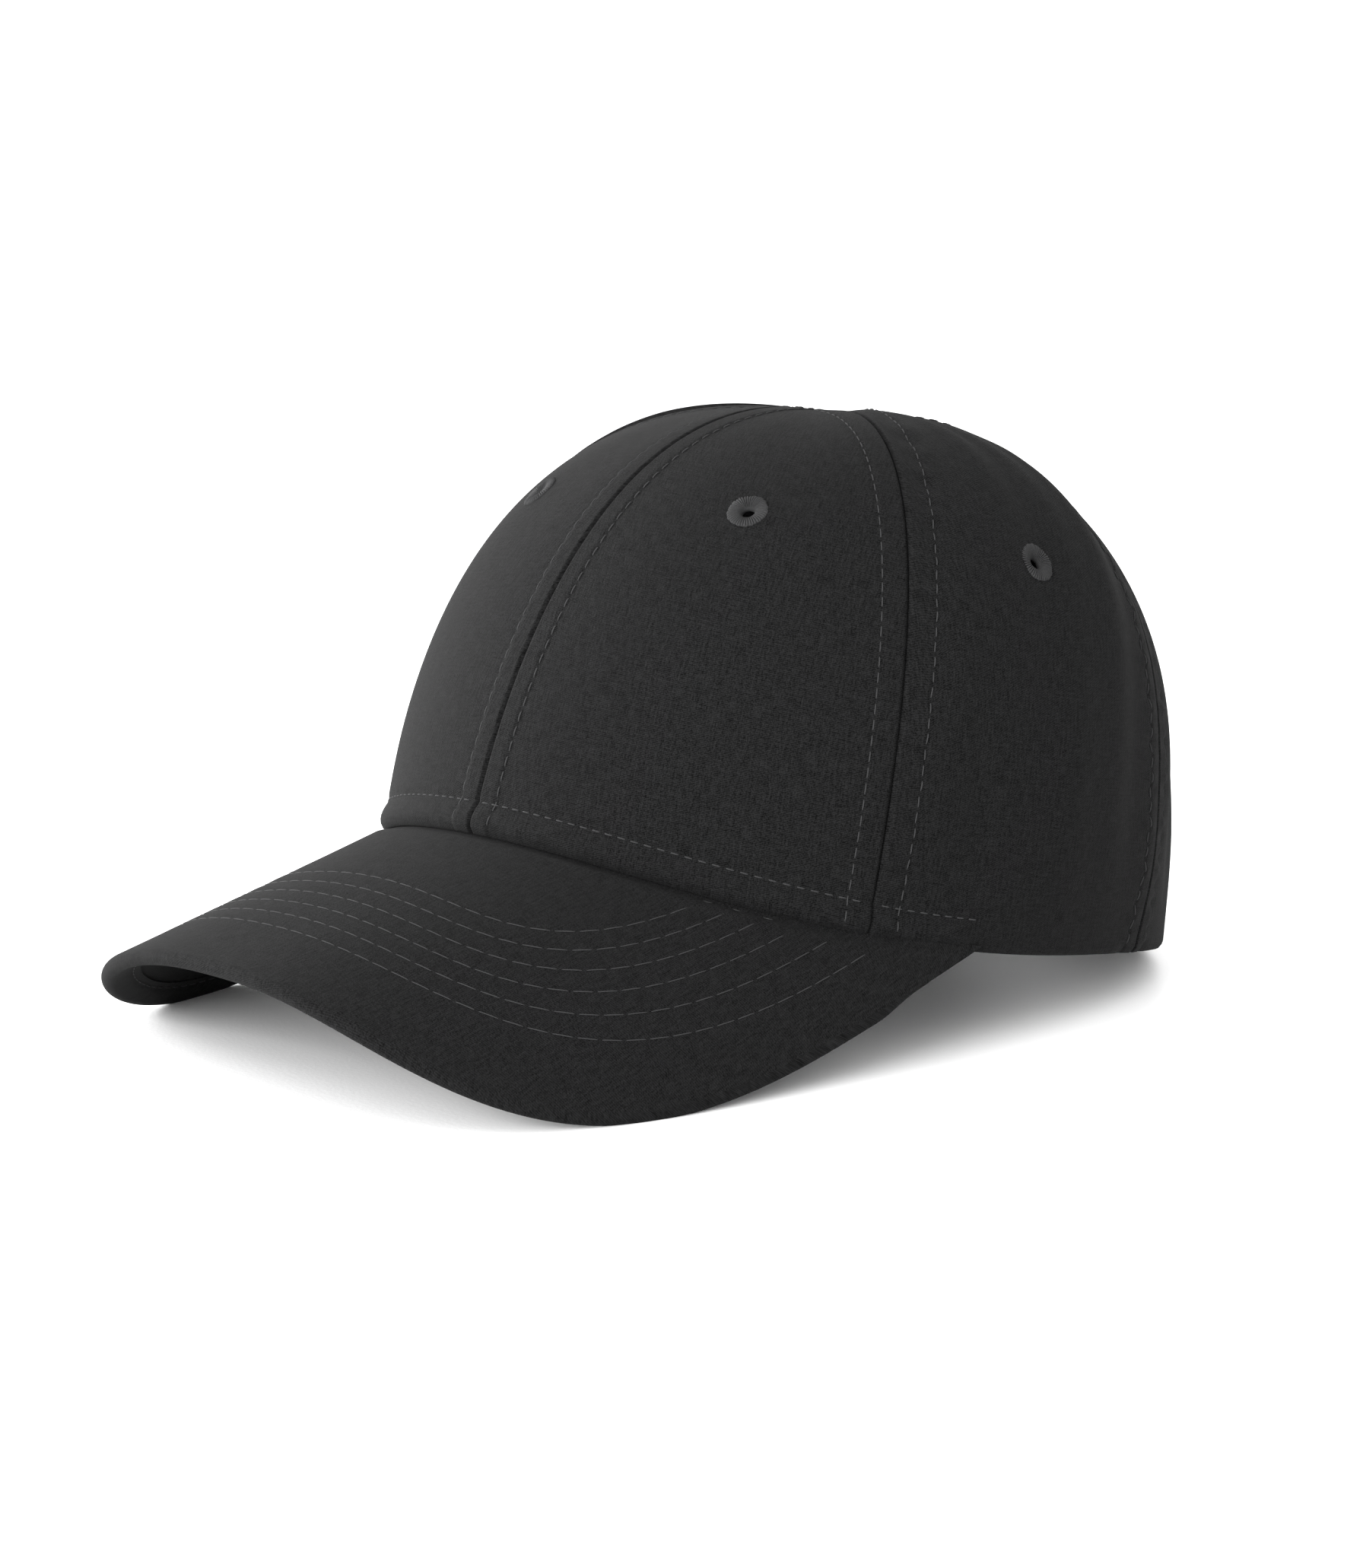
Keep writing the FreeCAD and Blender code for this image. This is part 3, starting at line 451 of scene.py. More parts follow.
def fit_to_edge(turns, shares, field):
    """Drops quads inside an opening and moves the points beside its edge onto it.

    A point moves against the field's slope over the grid, by the field over the slope.
    """
    value = field(turns, shares)
    slope_row, slope_column = np.gradient(value)
    steep = np.maximum(np.hypot(slope_row, slope_column), 1e-9)
    inside = value > 0.2 * steep
    keep = inside[:-1, :-1] | inside[1:, :-1] | inside[1:, 1:] | inside[:-1, 1:]
    used = np.zeros(value.shape, bool)
    for rows in (slice(None, -1), slice(1, None)):
        for columns in (slice(None, -1), slice(1, None)):
            used[rows, columns] |= keep
    move = used & ~inside
    turn_row, turn_column = np.gradient(turns)
    share_row, share_column = np.gradient(shares)
    for _ in range(3):
        step = np.where(move, np.clip(-value / steep, -0.9, 0.9), 0) / steep
        turns = turns + step * (turn_row * slope_row + turn_column * slope_column)
        shares = np.clip(shares + step * (share_row * slope_row + share_column * slope_column), 0, 1)
        value = field(turns, shares)
    return turns, shares, keep


def panel_grid(start, end):
    """Turns and shares of a panel: columns closer together beside the seams, rows even up the cloth."""
    part = np.linspace(0, 1, PANEL_COLUMNS)
    first, last = seam_turn(start), seam_turn(end)
    columns = first + (last - first) * (part - 0.55 * np.sin(TAU * part) / TAU)
    shares = np.linspace(0, 1, 400)
    rows = even(shares, crown(np.full(400, columns.mean()), shares), PANEL_ROWS)
    return np.meshgrid(columns, rows, indexing="ij")


def cloth_map(turns, shares, points):
    """Flat map of a panel: across from its middle, and up along the cloth from the base edge."""
    middle = (turns.min() + turns.max()) / 2
    across = (turns - middle) * plan_radius(turns, shares)
    steps = np.linalg.norm(np.diff(points, axis=1), axis=-1)
    up = np.concatenate([np.zeros((len(points), 1)), np.cumsum(steps, axis=1)], 1)
    return np.stack([across, up], -1)


def make_panel(name, start, end, eyelet_turn, eyelet_share, material):
    """One crown panel: the blank crown with its relief outside, and the cloth's thickness inside."""
    turns, shares = panel_grid(start, end)
    rear = name.startswith("rear")
    eyelet = (math.radians(eyelet_turn), eyelet_share)
    turns, shares, keep = fit_to_edge(turns, shares, lambda t, s: clear_field(t, s, eyelet, rear))
    lift = relief(turns, shares, (start, end), 0.0 if name.startswith("front") else 1.0)
    cloth = sizes("sewing").cloth
    outer = on_crown(turns, shares, lift)
    inner = on_crown(turns, shares, np.minimum(0.5 * lift - cloth, lift - 0.35 * cloth))
    piece = shell(name + "_panel_cloth", outer, inner, material, keep, cloth_map(turns, shares, outer))
    dress(name + "_panel")
    return piece


# ---------------------------------------------------------------- stitches and tapes


def stitches(name, runs, dash, pitch, thread, body="crown", sink=0.35):
    """Rows of stitches as short arched capsules, joined in one piece.

    Each run is (points, normals). A capsule's section is a circle of radius r times the fourth
    root of 1 - s^4 along its length s, and its middle rises by a share of the radius.
    """
    sides, rings = 6, np.array([-1.0, -0.86, -0.45, 0.45, 0.86, 1.0])
    around = np.linspace(0, TAU, sides, endpoint=False)
    all_points, radius = [], thread / 2
    for path, normals in runs:
        along = lengths(path)
        middles = np.arange(dash, along[-1] - dash / 2, pitch)
        at = middles[:, None] + rings * dash / 2
        spine = np.stack([np.interp(at, along, path[:, k]) for k in range(3)], -1)
        up = unit(np.stack([np.interp(at, along, normals[:, k]) for k in range(3)], -1))
        ahead = unit(spine[:, -1:] - spine[:, :1])
        side = unit(np.cross(ahead, up))
        thick = radius * (1.02 - rings ** 4) ** 0.25
        rise = radius * (1.0 - sink - 1.1 * rings ** 4)
        spine = spine + up * rise[:, None]
        ring = side[:, :, None] * np.cos(around)[:, None] + up[:, :, None] * np.sin(around)[:, None]
        all_points.append(spine[:, :, None] + ring * thick[:, None, None])
    points = np.concatenate(all_points)
    count = len(points)
    number = np.arange(count * len(rings) * sides).reshape(count, len(rings), sides)
    wrapped = np.concatenate([number, number[:, :, :1]], 2)
    quads = np.stack([wrapped[:, :-1, :-1], wrapped[:, :-1, 1:], wrapped[:, 1:, 1:], wrapped[:, 1:, :-1]], -1)
    caps = [number[:, 0, ::-1], number[:, -1]]
    piece = mesh_piece(name, points, [quads.reshape(-1, 4)] + caps, thread_material(), body=body, weld=0)
    return piece


def crown_run(turns, shares, ends, soft):
    """Points and normals of a line on the finished cloth."""
    return on_crown(turns, shares, relief(turns, shares, ends, soft)), crown_normal(turns, shares)


def inner_run(turns, shares, depth):
    """Points and normals of a line at a depth inside the crown, facing inwards."""
    return on_crown(turns, shares, -np.broadcast_to(depth, turns.shape)), -crown_normal(turns, shares)


def seam_row(step, side, first_rise, last_radius=0.011):
    """Turns and shares of the topstitch row beside a seam, at an even distance from it."""
    seam = np.full(500, seam_turn(step))
    shares = np.linspace(float(share_at(seam[0], first_rise)), 0.97, 500)
    shares = shares[plan_radius(seam, shares) > last_radius]
    turns = seam[:len(shares)] + side * sizes("sewing").row_gap / plan_radius(seam[:len(shares)], shares)
    return turns, shares


def seam_panels(step, side):
    """Seams that bound the panel on one side of a seam, and whether that panel is a soft one."""
    first = step if side > 0 else step - 1
    if step == 3 and side > 0:
        first = -3
    ends = (first, first + 1)
    return ends, 0.0 if ends in ((0, 1), (-1, 0)) else 1.0


def make_crown_stitches():
    """Two topstitch rows along every seam, and the hem row round the front."""
    s = sizes("sewing")
    closure = sizes("closure")
    arch_top = closure.spring + closure.half_width + 0.001
    for label, step in SEAMS:
        runs = []
        for side in (-1, 1):
            turns, shares = seam_row(step, side, arch_top if label == "rear" else 0.0012)
            if label == "rear":
                turns = np.where(turns > math.pi, turns - TAU, turns)
            ends, soft = seam_panels(int(step), side)
            runs.append(crown_run(turns, shares, ends, soft))
        stitches(label + "_seam_stitches", runs, s.dash, s.pitch, s.thread)
    runs = []
    for start, end, side in ((0, 1, 1), (-1, 0, -1), (1, 2, 1), (-2, -1, -1)):
        low, high = seam_turn(start), seam_turn(end)
        if abs(start + end) == 3:
            low, high = (low, s.hem_end) if side > 0 else (-s.hem_end, high)
        turns = np.linspace(low + 0.008, high - 0.008, 300)
        shares = share_at(turns, s.hem)
        runs.append(crown_run(turns, shares, (start, end), 0.0 if abs(start + end) == 1 else 1.0))
    stitches("hem_stitches", runs, 0.8 * s.dash, 0.9 * s.pitch, 1.15 * s.thread)


def make_eyelet(name, start, end, eyelet_turn, eyelet_share):
    """Embroidered ring: a closed section turned round the hole, ribbed by its radial threads.

    Section, as share q round it: an arch over the cloth, then the sleeve through the hole. The
    rib is the size of the sine of half the threads' count times the angle.
    """
    s = sizes("sewing")
    place = np.array([math.radians(eyelet_turn)]), np.array([eyelet_share])
    normal = crown_normal(*place)[0]
    soft = 0.0 if name.startswith("front") else 1.0
    centre = on_crown(*place, relief(*place, (start, end), soft))[0]
    side = unit(np.cross([0.0, 0.0, 1.0], normal))
    up = np.cross(normal, side)
    radii = np.array([0.95, 0.99, 1.0, 0.95, 0.87, 0.77, 0.66, 0.55, 0.46, 0.39, 0.34, 0.31, 0.30, 0.36, 0.44,
                      0.47, 0.7])
    heights = np.array([-0.4, -0.15, 0.12, 0.34, 0.46, 0.5, 0.46, 0.34, 0.14, -0.14, -0.5, -0.9, -1.5, -1.7,
                        -1.5, -0.9, -0.6])
    angles = np.linspace(0, TAU, s.eyelet_threads * 6, endpoint=False)
    rib = np.abs(np.sin(angles * s.eyelet_threads / 2))
    thread = np.round(angles * s.eyelet_threads / TAU)
    uneven = 0.5 * np.sin(5 * angles + eyelet_turn) + 0.5 * np.sin(thread * 2.4)
    covered = smooth((heights + 0.7) / 0.6)
    reach = s.eyelet * radii * (1 + 0.035 * uneven[:, None] * (radii > 0.8))
    rise = 0.001 * (heights + covered * (0.34 * rib[:, None] - 0.22 + 0.06 * uneven[:, None]))
    sag = reach ** 2 / 0.19
    spokes = side * np.cos(angles)[:, None, None] + up * np.sin(angles)[:, None, None]
    rings = centre + spokes * reach[..., None] + normal * (rise - sag)[..., None]
    piece = tube(name + "_eyelet_ring", rings[::-1], thread_material(), closed=True, sharp=80)
    dress(name + "_eyelet")
    return piece


def patch(name, turns, shares, out, thick, material, node, slot_name, flat, held="stretched", **more):
    """Layer inside the crown between two depths, with rounded long edges."""
    part = np.linspace(-1, 1, turns.shape[0])[:, None]
    pinch = thick / 2 * (1 - (1 - part ** 8) ** 0.5) * np.ones(turns.shape)
    outer, inner = on_crown(turns, shares, -(out + pinch)), on_crown(turns, shares, -(out + thick - pinch))
    piece = shell(name, outer, inner, material, uv=cloth_map(turns, shares, outer), **more)
    dress(node)
    return piece


def make_linings():
    """Buckram behind the front panels, and a stitched tape over each seam."""
    s = sizes("sewing")
    closure = sizes("closure")
    for name, start, end, eyelet_turn, eyelet_share in PANELS[:2]:
        columns = np.linspace(seam_turn(start), seam_turn(end), 100)
        turns, shares = np.meshgrid(columns, np.linspace(0.002, 0.80, 150), indexing="ij")
        eyelet = (math.radians(eyelet_turn), eyelet_share)
        turns, shares, keep = fit_to_edge(turns, shares, lambda t, u: clear_field(t, u, eyelet, False))
        patch(name + "_buckram", turns, shares, s.cloth + LINING_GAP, 0.8 * s.buckram, buckram_material(),
              name + "_stiffener", "buckram", (0.095, 0.135), keep=keep)
    arch_top = closure.spring + closure.half_width + closure.binding
    names = {0: "front_seam_tape", 1: "front_side_seam_tape_left", -1: "front_side_seam_tape_right",
             2: "side_rear_seam_tape_left", -2: "side_rear_seam_tape_right", 3: "rear_seam_tape"}
    for step, node in names.items():
        seam = seam_turn(step)
        first = float(share_at(seam, arch_top if step == 3 else s.band_height))
        last = np.linspace(0.5, 1, 500)
        last = last[plan_radius(np.full(500, seam), last) > 0.013][-1]
        across = np.linspace(-0.5, 0.5, 25)[:, None]
        shares = np.linspace(first, last, 120)[None] * np.ones((25, 1))
        turns = seam + across * s.tape_width / plan_radius(np.full(shares.shape, seam), shares)
        depth = s.cloth + LINING_GAP + (s.buckram if abs(step) < 2 else 0.0)
        span = lengths(crown(np.full(120, seam), shares[0]))[-1]
        patch(node + "_cloth", turns, shares, depth, 1.2 * s.tape, lining_material(), node, "seam_tape",
              (s.tape_width, round(float(span), 3)))
        runs = []
        for side in (-1, 1):
            row = seam + side * s.row_gap * 0.8 / plan_radius(np.full(120, seam), shares[0])
            runs.append(inner_run(row, shares[0], depth + 1.2 * s.tape))
        stitches(node + "_stitches", runs, s.dash, s.pitch, s.thread)


def band_depth(turns):
    """Depth of the sweatband's outside: behind the buckram in front, off the panels at the back."""
    s, c = sizes("sewing"), sizes("crown")
    past = np.degrees(np.abs(turns) - c.front_seam)
    return s.cloth + 0.00005 + s.buckram * (1 - smooth(past / 15)) + s.pocket * smooth((past - 40) / 36)


def rounded_section(half_height, half_thick, count=10):
    """Section of a folded band: two long sides, joined by half circles at both ends."""
    arc = np.linspace(-np.pi / 2, np.pi / 2, count)
    straight = np.linspace(-1, 1, 26)[1:-1] * (half_height - half_thick)
    top = np.stack([half_height - half_thick + half_thick * np.cos(arc), half_thick * np.sin(arc)], -1)
    bottom = -top
    right = np.stack([-straight, np.full(24, half_thick)], -1)
    left = np.stack([straight, np.full(24, -half_thick)], -1)
    return np.concatenate([top, right, bottom, left])


def band(name, turns, depth, low, high, thick, material, body="crown"):
    """Band inside the crown: a rounded section whose long side follows the crown's height."""
    section = rounded_section((high - low) / 2, thick / 2)
    rise = section[:, 0] + (low + high) / 2
    columns = np.repeat(turns[:, None], len(section), 1)
    shares = share_at(columns, np.maximum(rise, 0)[None])
    inset = np.repeat(depth[:, None], len(section), 1) + thick / 2 + section[:, 1]
    rings = on_crown(columns, shares, -inset)
    uv = np.stack([columns * 0.09, np.repeat(rise[None], len(turns), 0)], -1)
    return tube(name, rings, material, uv=uv, body=body)


def make_sweatband():
    """Folded sweatband inside the base edge, with a stitch row near each edge."""
    s, closure = sizes("sewing"), sizes("closure")
    joint = closure.half_width + 0.0015
    edge = math.pi - math.asin(joint / (sizes("crown").half_width - 0.002))
    while abs(crown(np.array(edge), np.array(0.03))[0]) < joint:
        edge -= 0.002
    turns = np.linspace(-edge, edge, 260)
    piece = band("sweatband_cloth", turns, band_depth(turns), 0.0004, s.band_height, s.band,
                 lining_material())
    dress("sweatband")
    runs = []
    for rise in (0.004, s.band_height - 0.0035):
        path = turns[3:-3]
        runs.append(inner_run(path, share_at(path, rise), band_depth(path) + s.band))
    stitches("sweatband_stitches", runs, s.dash, s.pitch, s.thread)


# ---------------------------------------------------------------- visor


def visor_corner():
    """Point of the crown's base edge where the visor ends."""
    return crown(np.array(sizes("visor").root), np.array(0.0))


def visor_half():
    """Half the thickness of the board and its two cloths."""
    return sizes("visor").board / 2 + sizes("visor").cover


def squared_ellipse(angles, half, reach, power):
    """Curve about the line between the visor's corners: sine and cosine raised to 2 over the power."""
    corner = visor_corner()
    across = np.sign(np.sin(angles)) * np.abs(np.sin(angles)) ** (2 / power)
    return half * across, corner[1] - reach * np.abs(np.cos(angles)) ** (2 / power)


def rim(angles, margin):
    """Rim in plan, moved in by a margin."""
    v = sizes("visor")
    corner = visor_corner()
    reach = sizes("crown").front_depth + v.reach + corner[1] - margin
    return squared_ellipse(angles, corner[0] - margin, reach, v.outline)


def root_y(x):
    """Where the middle of the visor starts: inside the base outline, so that its top meets it."""
    c = sizes("crown")
    inside = visor_half() * math.sin(math.atan(sizes("visor").slope))
    return (inside - c.front_depth) * np.sqrt(1 - np.minimum(np.abs(x) / c.half_width, 1) ** 2)


def visor_height(x, y):
    """Middle of the visor's thickness: straight lines from the crown's base edge to the rim.

    The rim falls with its distance forward, and with a power of the distance across.
    """
    v, c = sizes("visor"), sizes("crown")
    corner = visor_corner()
    past = 0.0005
    ratio = np.minimum(np.abs(x) / (corner[0] + past), 1)
    rim_y = rim(np.arcsin(ratio ** (v.outline / 2)), -past)[1]
    start = root_y(x)
    root_level = base_level(np.arctan2(x, -start)) - visor_half() * math.cos(math.atan(v.slope))
    fall = v.level - v.slope * (-corner[1] - c.front_depth) - corner[2]
    rim_level = v.level - v.slope * (-rim_y - c.front_depth) - fall * ratio ** v.arch
    return root_level + (rim_level - root_level) * (start - y) / np.maximum(start - rim_y, 1e-9)


def visor_normal(x, y):
    """Upward normal of the visor from the slopes of its height."""
    step = 0.00005
    slope_x = (visor_height(x + step, y) - visor_height(x - step, y)) / (2 * step)
    slope_y = (visor_height(x, y + step) - visor_height(x, y - step)) / (2 * step)
    return unit(np.stack([-slope_x, -slope_y, np.ones(x.shape)], -1))


def on_visor(x, y, lift):
    """Point that stands a given height off the middle of the visor."""
    middle = np.stack([x, y, visor_height(x, y)], -1)
    return middle + visor_normal(x, y) * np.broadcast_to(lift, x.shape)[..., None]


def visor_rows():
    """Half width, reach and power of each stitch row, evenly spaced from the outer to the inner."""
    v = sizes("visor")
    corner = visor_corner()
    full = sizes("crown").front_depth + v.reach + corner[1]
    part = np.linspace(0, 1, v.rows)
    side = v.outer_side + (v.inner_side - v.outer_side) * part
    front = v.outer_front + (v.inner_front - v.outer_front) * part
    return zip(corner[0] - side, full - front, 3.0 + 0.8 * part)


def visor_relief(x, y):
    """Quilting: each row sinks as a bell, the cloth swells between rows and drops beside the crown.

    Distance from a row is its implicit value less one, over the size of that value's slope.
    """
    corner = visor_corner()
    lift = np.zeros(x.shape)
    across, ahead = np.maximum(np.abs(x), 1e-6), np.maximum(corner[1] - y, 1e-6)
    for half, reach, power in visor_rows():
        value = ((across / half) ** power + (ahead / reach) ** power) ** (1 / power)
        slope = value ** (1 - power) * np.hypot(across ** (power - 1) / half ** power,
                                                ahead ** (power - 1) / reach ** power)
        away = (value - 1) / slope
        lift += 0.00003 * bump(np.abs(away) - 0.0024, 0.0015) - 0.00010 * bump(away, 0.0006)
    return lift - 0.0009 * (1 - smooth((root_y(x) - y) / 0.0022)) * smooth((corner[0] - np.abs(x)) / 0.02)


def rim_angles(count):
    """Angles along the rim that give evenly spaced points, short of the trimmed corners."""
    limit = math.pi / 2 - sizes("visor").side_cut
    angles = np.linspace(-limit, limit, 20001)
    return even(angles, np.stack(rim(angles, 0.0), -1), count)


def rim_frame(angles):
    """Normal and outward direction at the rim, both square to it, and the outward one's plan length."""
    x, y = rim(angles, 0.0)
    ahead = np.stack([np.gradient(x), np.gradient(y), np.gradient(visor_height(x, y))], -1)
    normal = visor_normal(x, y)
    outward = unit(np.cross(unit(ahead), normal))
    return normal, outward, np.hypot(outward[:, 0], outward[:, 1])


def rim_inset(angles, distances):
    """Rim moved in along the cloth from the line that the rounded edge turns about.

    In plan that line runs inside the rim by half the thickness times the outward direction's plan
    length, less half of the normal's plan length, so that the round covers the upright cut edge.
    """
    normal, _, flat = rim_frame(angles)
    start = visor_half() * (flat - 0.5 * np.hypot(normal[:, 0], normal[:, 1]))
    return rim(angles[:, None], start[:, None] + flat[:, None] * distances)


def visor_field(edge_x, edge_y, count):
    """Plan grid from inside the crown's base edge, further inside at the corners, to a given edge."""
    start = root_y(edge_x) + ROOT_PAST + ROOT_PAST * smooth(5 * np.abs(edge_x) / visor_corner()[0] - 4)
    part = np.linspace(0, 1, count)
    return np.repeat(edge_x[:, None], count, 1), start[:, None] + (edge_y - start)[:, None] * part


def arch_length(x):
    """Distance across the arch: the sum of small steps, each longer by the arch's slope there."""
    v, corner = sizes("visor"), visor_corner()
    fall = v.level - v.slope * (-corner[1] - sizes("crown").front_depth) - corner[2]
    across = np.linspace(0, 1.1, 800)
    slope = fall * v.arch * np.minimum(across, 1) ** (v.arch - 1) / corner[0]
    total = np.cumsum(np.hypot(1, slope)) * (across[1] - across[0]) * corner[0]
    return np.sign(x) * np.interp(np.abs(x) / corner[0], across, total)


def make_visor_covers():
    """Upper cloth that wraps round the rim and turns in below, and the cloth under the board.

    The wrap is a half circle about a line that runs along the rim, flattened near the corners. The
    map follows the arch across, the fall of the visor forward, and the cloth round the rim.
    """
    v = sizes("visor")
    half, board = visor_half(), v.board / 2
    angles = rim_angles(330)
    normal, outward, _ = rim_frame(angles)
    edge_x, edge_y = (plan[:, 0] for plan in rim_inset(angles, np.zeros(1)))
    x, y = visor_field(edge_x, edge_y, 98)
    lift = visor_relief(x, y)
    outer, inner = [on_visor(x, y, half + lift)], [on_visor(x, y, board + BOARD_GAP + 0.5 * lift)]
    outer[0][:, -1] = on_visor(edge_x, edge_y, 0.0) + normal * half
    inner[0][:, -1] = on_visor(edge_x, edge_y, 0.0) + normal * (board + BOARD_GAP)
    swing = np.linspace(0, math.pi, 15)[1:-1]
    past = smooth((np.abs(angles) - math.radians(85)) / math.radians(3.4))
    out = (1 - 0.85 * past)[:, None, None] * np.sin(swing)[:, None] * outward[:, None]
    turned = normal[:, None] * np.cos(swing)[:, None] + out
    middle = on_visor(edge_x, edge_y, 0.0)[:, None]
    outer.append(middle + turned * half)
    inner.append(middle + turned * (board + BOARD_GAP))
    distances = np.linspace(0, TURNED_EDGE, 12)
    fold_x, fold_y = rim_inset(angles, distances)
    crease = CREASE * bump(distances - RIM_ROW, 0.0008)
    outer.append(on_visor(fold_x, fold_y, crease - half))
    inner.append(on_visor(fold_x, fold_y, crease - half + 0.0004))
    outer, inner = np.concatenate(outer, 1), np.concatenate(inner, 1)
    steps = np.linalg.norm(np.diff(outer[:, 97:], axis=1), axis=-1)
    round_rim = edge_y[:, None] * math.hypot(1, v.slope) - np.cumsum(steps, axis=1)
    forward = np.concatenate([y * math.hypot(1, v.slope), round_rim], 1)
    uv = np.stack([np.repeat(arch_length(edge_x)[:, None], outer.shape[1], 1), forward], -1)
    top = shell("visor_top_cloth", outer[::-1], inner[::-1], twill_material("visor"), uv=uv[::-1])
    dress("visor_top_cover")
    edge_x, edge_y = (plan[::2, 0] for plan in rim_inset(angles, np.array([0.004])))
    x, y = visor_field(edge_x, edge_y, 70)
    lift = visor_relief(x, y)
    outer, inner = on_visor(x, y, -board - UNDER_CLOTH - lift), on_visor(x, y, -board - BOARD_GAP)
    uv = np.stack([arch_length(x), y * math.hypot(1, v.slope)], -1)
    under = shell("visor_under_cloth", inner[::-1], outer[::-1], twill_material("visor"), uv=uv[::-1])
    dress("visor_under_cover")


def make_visor_stitches():
    """Six rows across the visor, above and below, and the row that holds the turned edge."""
    v, s = sizes("visor"), sizes("sewing")
    above, below = [], []
    for half, reach, power in visor_rows():
        angles = np.linspace(-math.pi / 2, math.pi / 2, 20001)
        x, y = squared_ellipse(angles, half, reach, power)
        x, y = x[y < root_y(x) - 0.0016], y[y < root_y(x) - 0.0016]
        order = even(np.arange(len(x)), np.stack([x, y], -1), 400)
        x, y = np.interp(order, np.arange(len(x)), x), np.interp(order, np.arange(len(y)), y)
        normals = visor_normal(x, y)
        lift = visor_relief(x, y)
        above.append((on_visor(x, y, visor_half() + lift), normals))
        below.append((on_visor(x, y, -v.board / 2 - UNDER_CLOTH - lift), -normals))
    stitches("visor_top_stitches", above, v.dash, v.pitch, 0.85 * s.thread, sink=0.5)
    stitches("visor_under_stitches", below, v.dash, v.pitch, 0.85 * s.thread, sink=0.5)
    x, y = (plan[6:-6, 0] for plan in rim_inset(rim_angles(400), np.array([RIM_ROW])))
    run = (on_visor(x, y, CREASE - visor_half()), -visor_normal(x, y))
    stitches("visor_rim_stitches", [run], s.dash, s.pitch, 0.9 * s.thread)
    paint(frame["nodes"]["visor_board"], board_material())


# ---------------------------------------------------------------- closure


def strap_points(angles, rise, depth):
    """Cone inside the back of the crown: the circle that fits the base outline, leaning inwards.

    The radius is half width squared over rear depth, less the depth over the cosine of the lean,
    less the tangent of the lean times the height.
    """
    c = sizes("crown")
    tangent = -c.rear_lean / (c.rear_rise * c.height)
    circle = c.half_width ** 2 / c.rear_depth
    radius = circle - depth * math.hypot(1, tangent) - tangent * rise
    return np.stack([radius * np.sin(angles), c.rear_depth - circle + radius * np.cos(angles),
                     rise * np.ones(np.shape(radius * angles))], -1)


def strap_end():
    """Half the strap's length in radians about its axis."""
    c, s = sizes("crown"), sizes("closure")
    return math.asin(s.half_width * c.rear_depth / c.half_width ** 2) + s.tuck


def cone_band(name, angles, low, high, depth, thick, material, body):
    """Flat band round the strap's cone with rounded edges."""
    section = rounded_section((high - low) / 2, thick / 2, 8)
    rise = section[:, 0] + (low + high) / 2
    rings = strap_points(angles[:, None], rise[None], depth + thick / 2 - section[None, :, 1])
    around = np.repeat(angles[:, None] * 0.07, len(section), 1)
    uv = np.stack([around, np.repeat(rise[None], len(angles), 0)], -1)
    return tube(name, rings[::-1], material, uv=uv[::-1], body=body)


def strap_run(angles, rise, depth):
    """Line on the outside of a band, with its normals, which point away from the cone's axis."""
    path = strap_points(angles, np.full(angles.shape, rise), depth)
    c = sizes("crown")
    lean = math.atan(-c.rear_lean / (c.rear_rise * c.height))
    normals = np.stack([np.sin(angles) * math.cos(lean), np.cos(angles) * math.cos(lean),
                        np.full(angles.shape, math.sin(lean))], -1)
    return path, normals


def make_strap():
    """Two-ply strap with a stitch row near each edge, and the folded tab that holds the buckle."""
    s, w = sizes("closure"), sizes("sewing")
    end = strap_end()
    low, high = s.strap_low, s.strap_low + s.strap_width
    depth = w.cloth + s.clearance
    angles = np.linspace(-end, end, 160)
    strap = cone_band("adjuster_strap_cloth", angles, low, high, depth, s.strap,
                      twill_material("strap"), "strap")
    dress("adjuster_strap")
    runs = [strap_run(angles, rise, depth) for rise in (low + 0.0028, high - 0.0028)]
    stitches("adjuster_strap_stitches", runs, w.dash, w.pitch, 0.9 * w.thread, body="strap", sink=0.6)
    middle, half = (low + high) / 2, s.tab_width / 2
    depth = w.cloth + 2 * s.clearance + s.strap
    angles = np.linspace(s.buckle + s.tab_start, end - 0.085, 40)
    tab = cone_band("buckle_tab_cloth", angles, middle - half, middle + half, depth, s.tab,
                    twill_material("strap"), "crown")
    dress("buckle_tab")


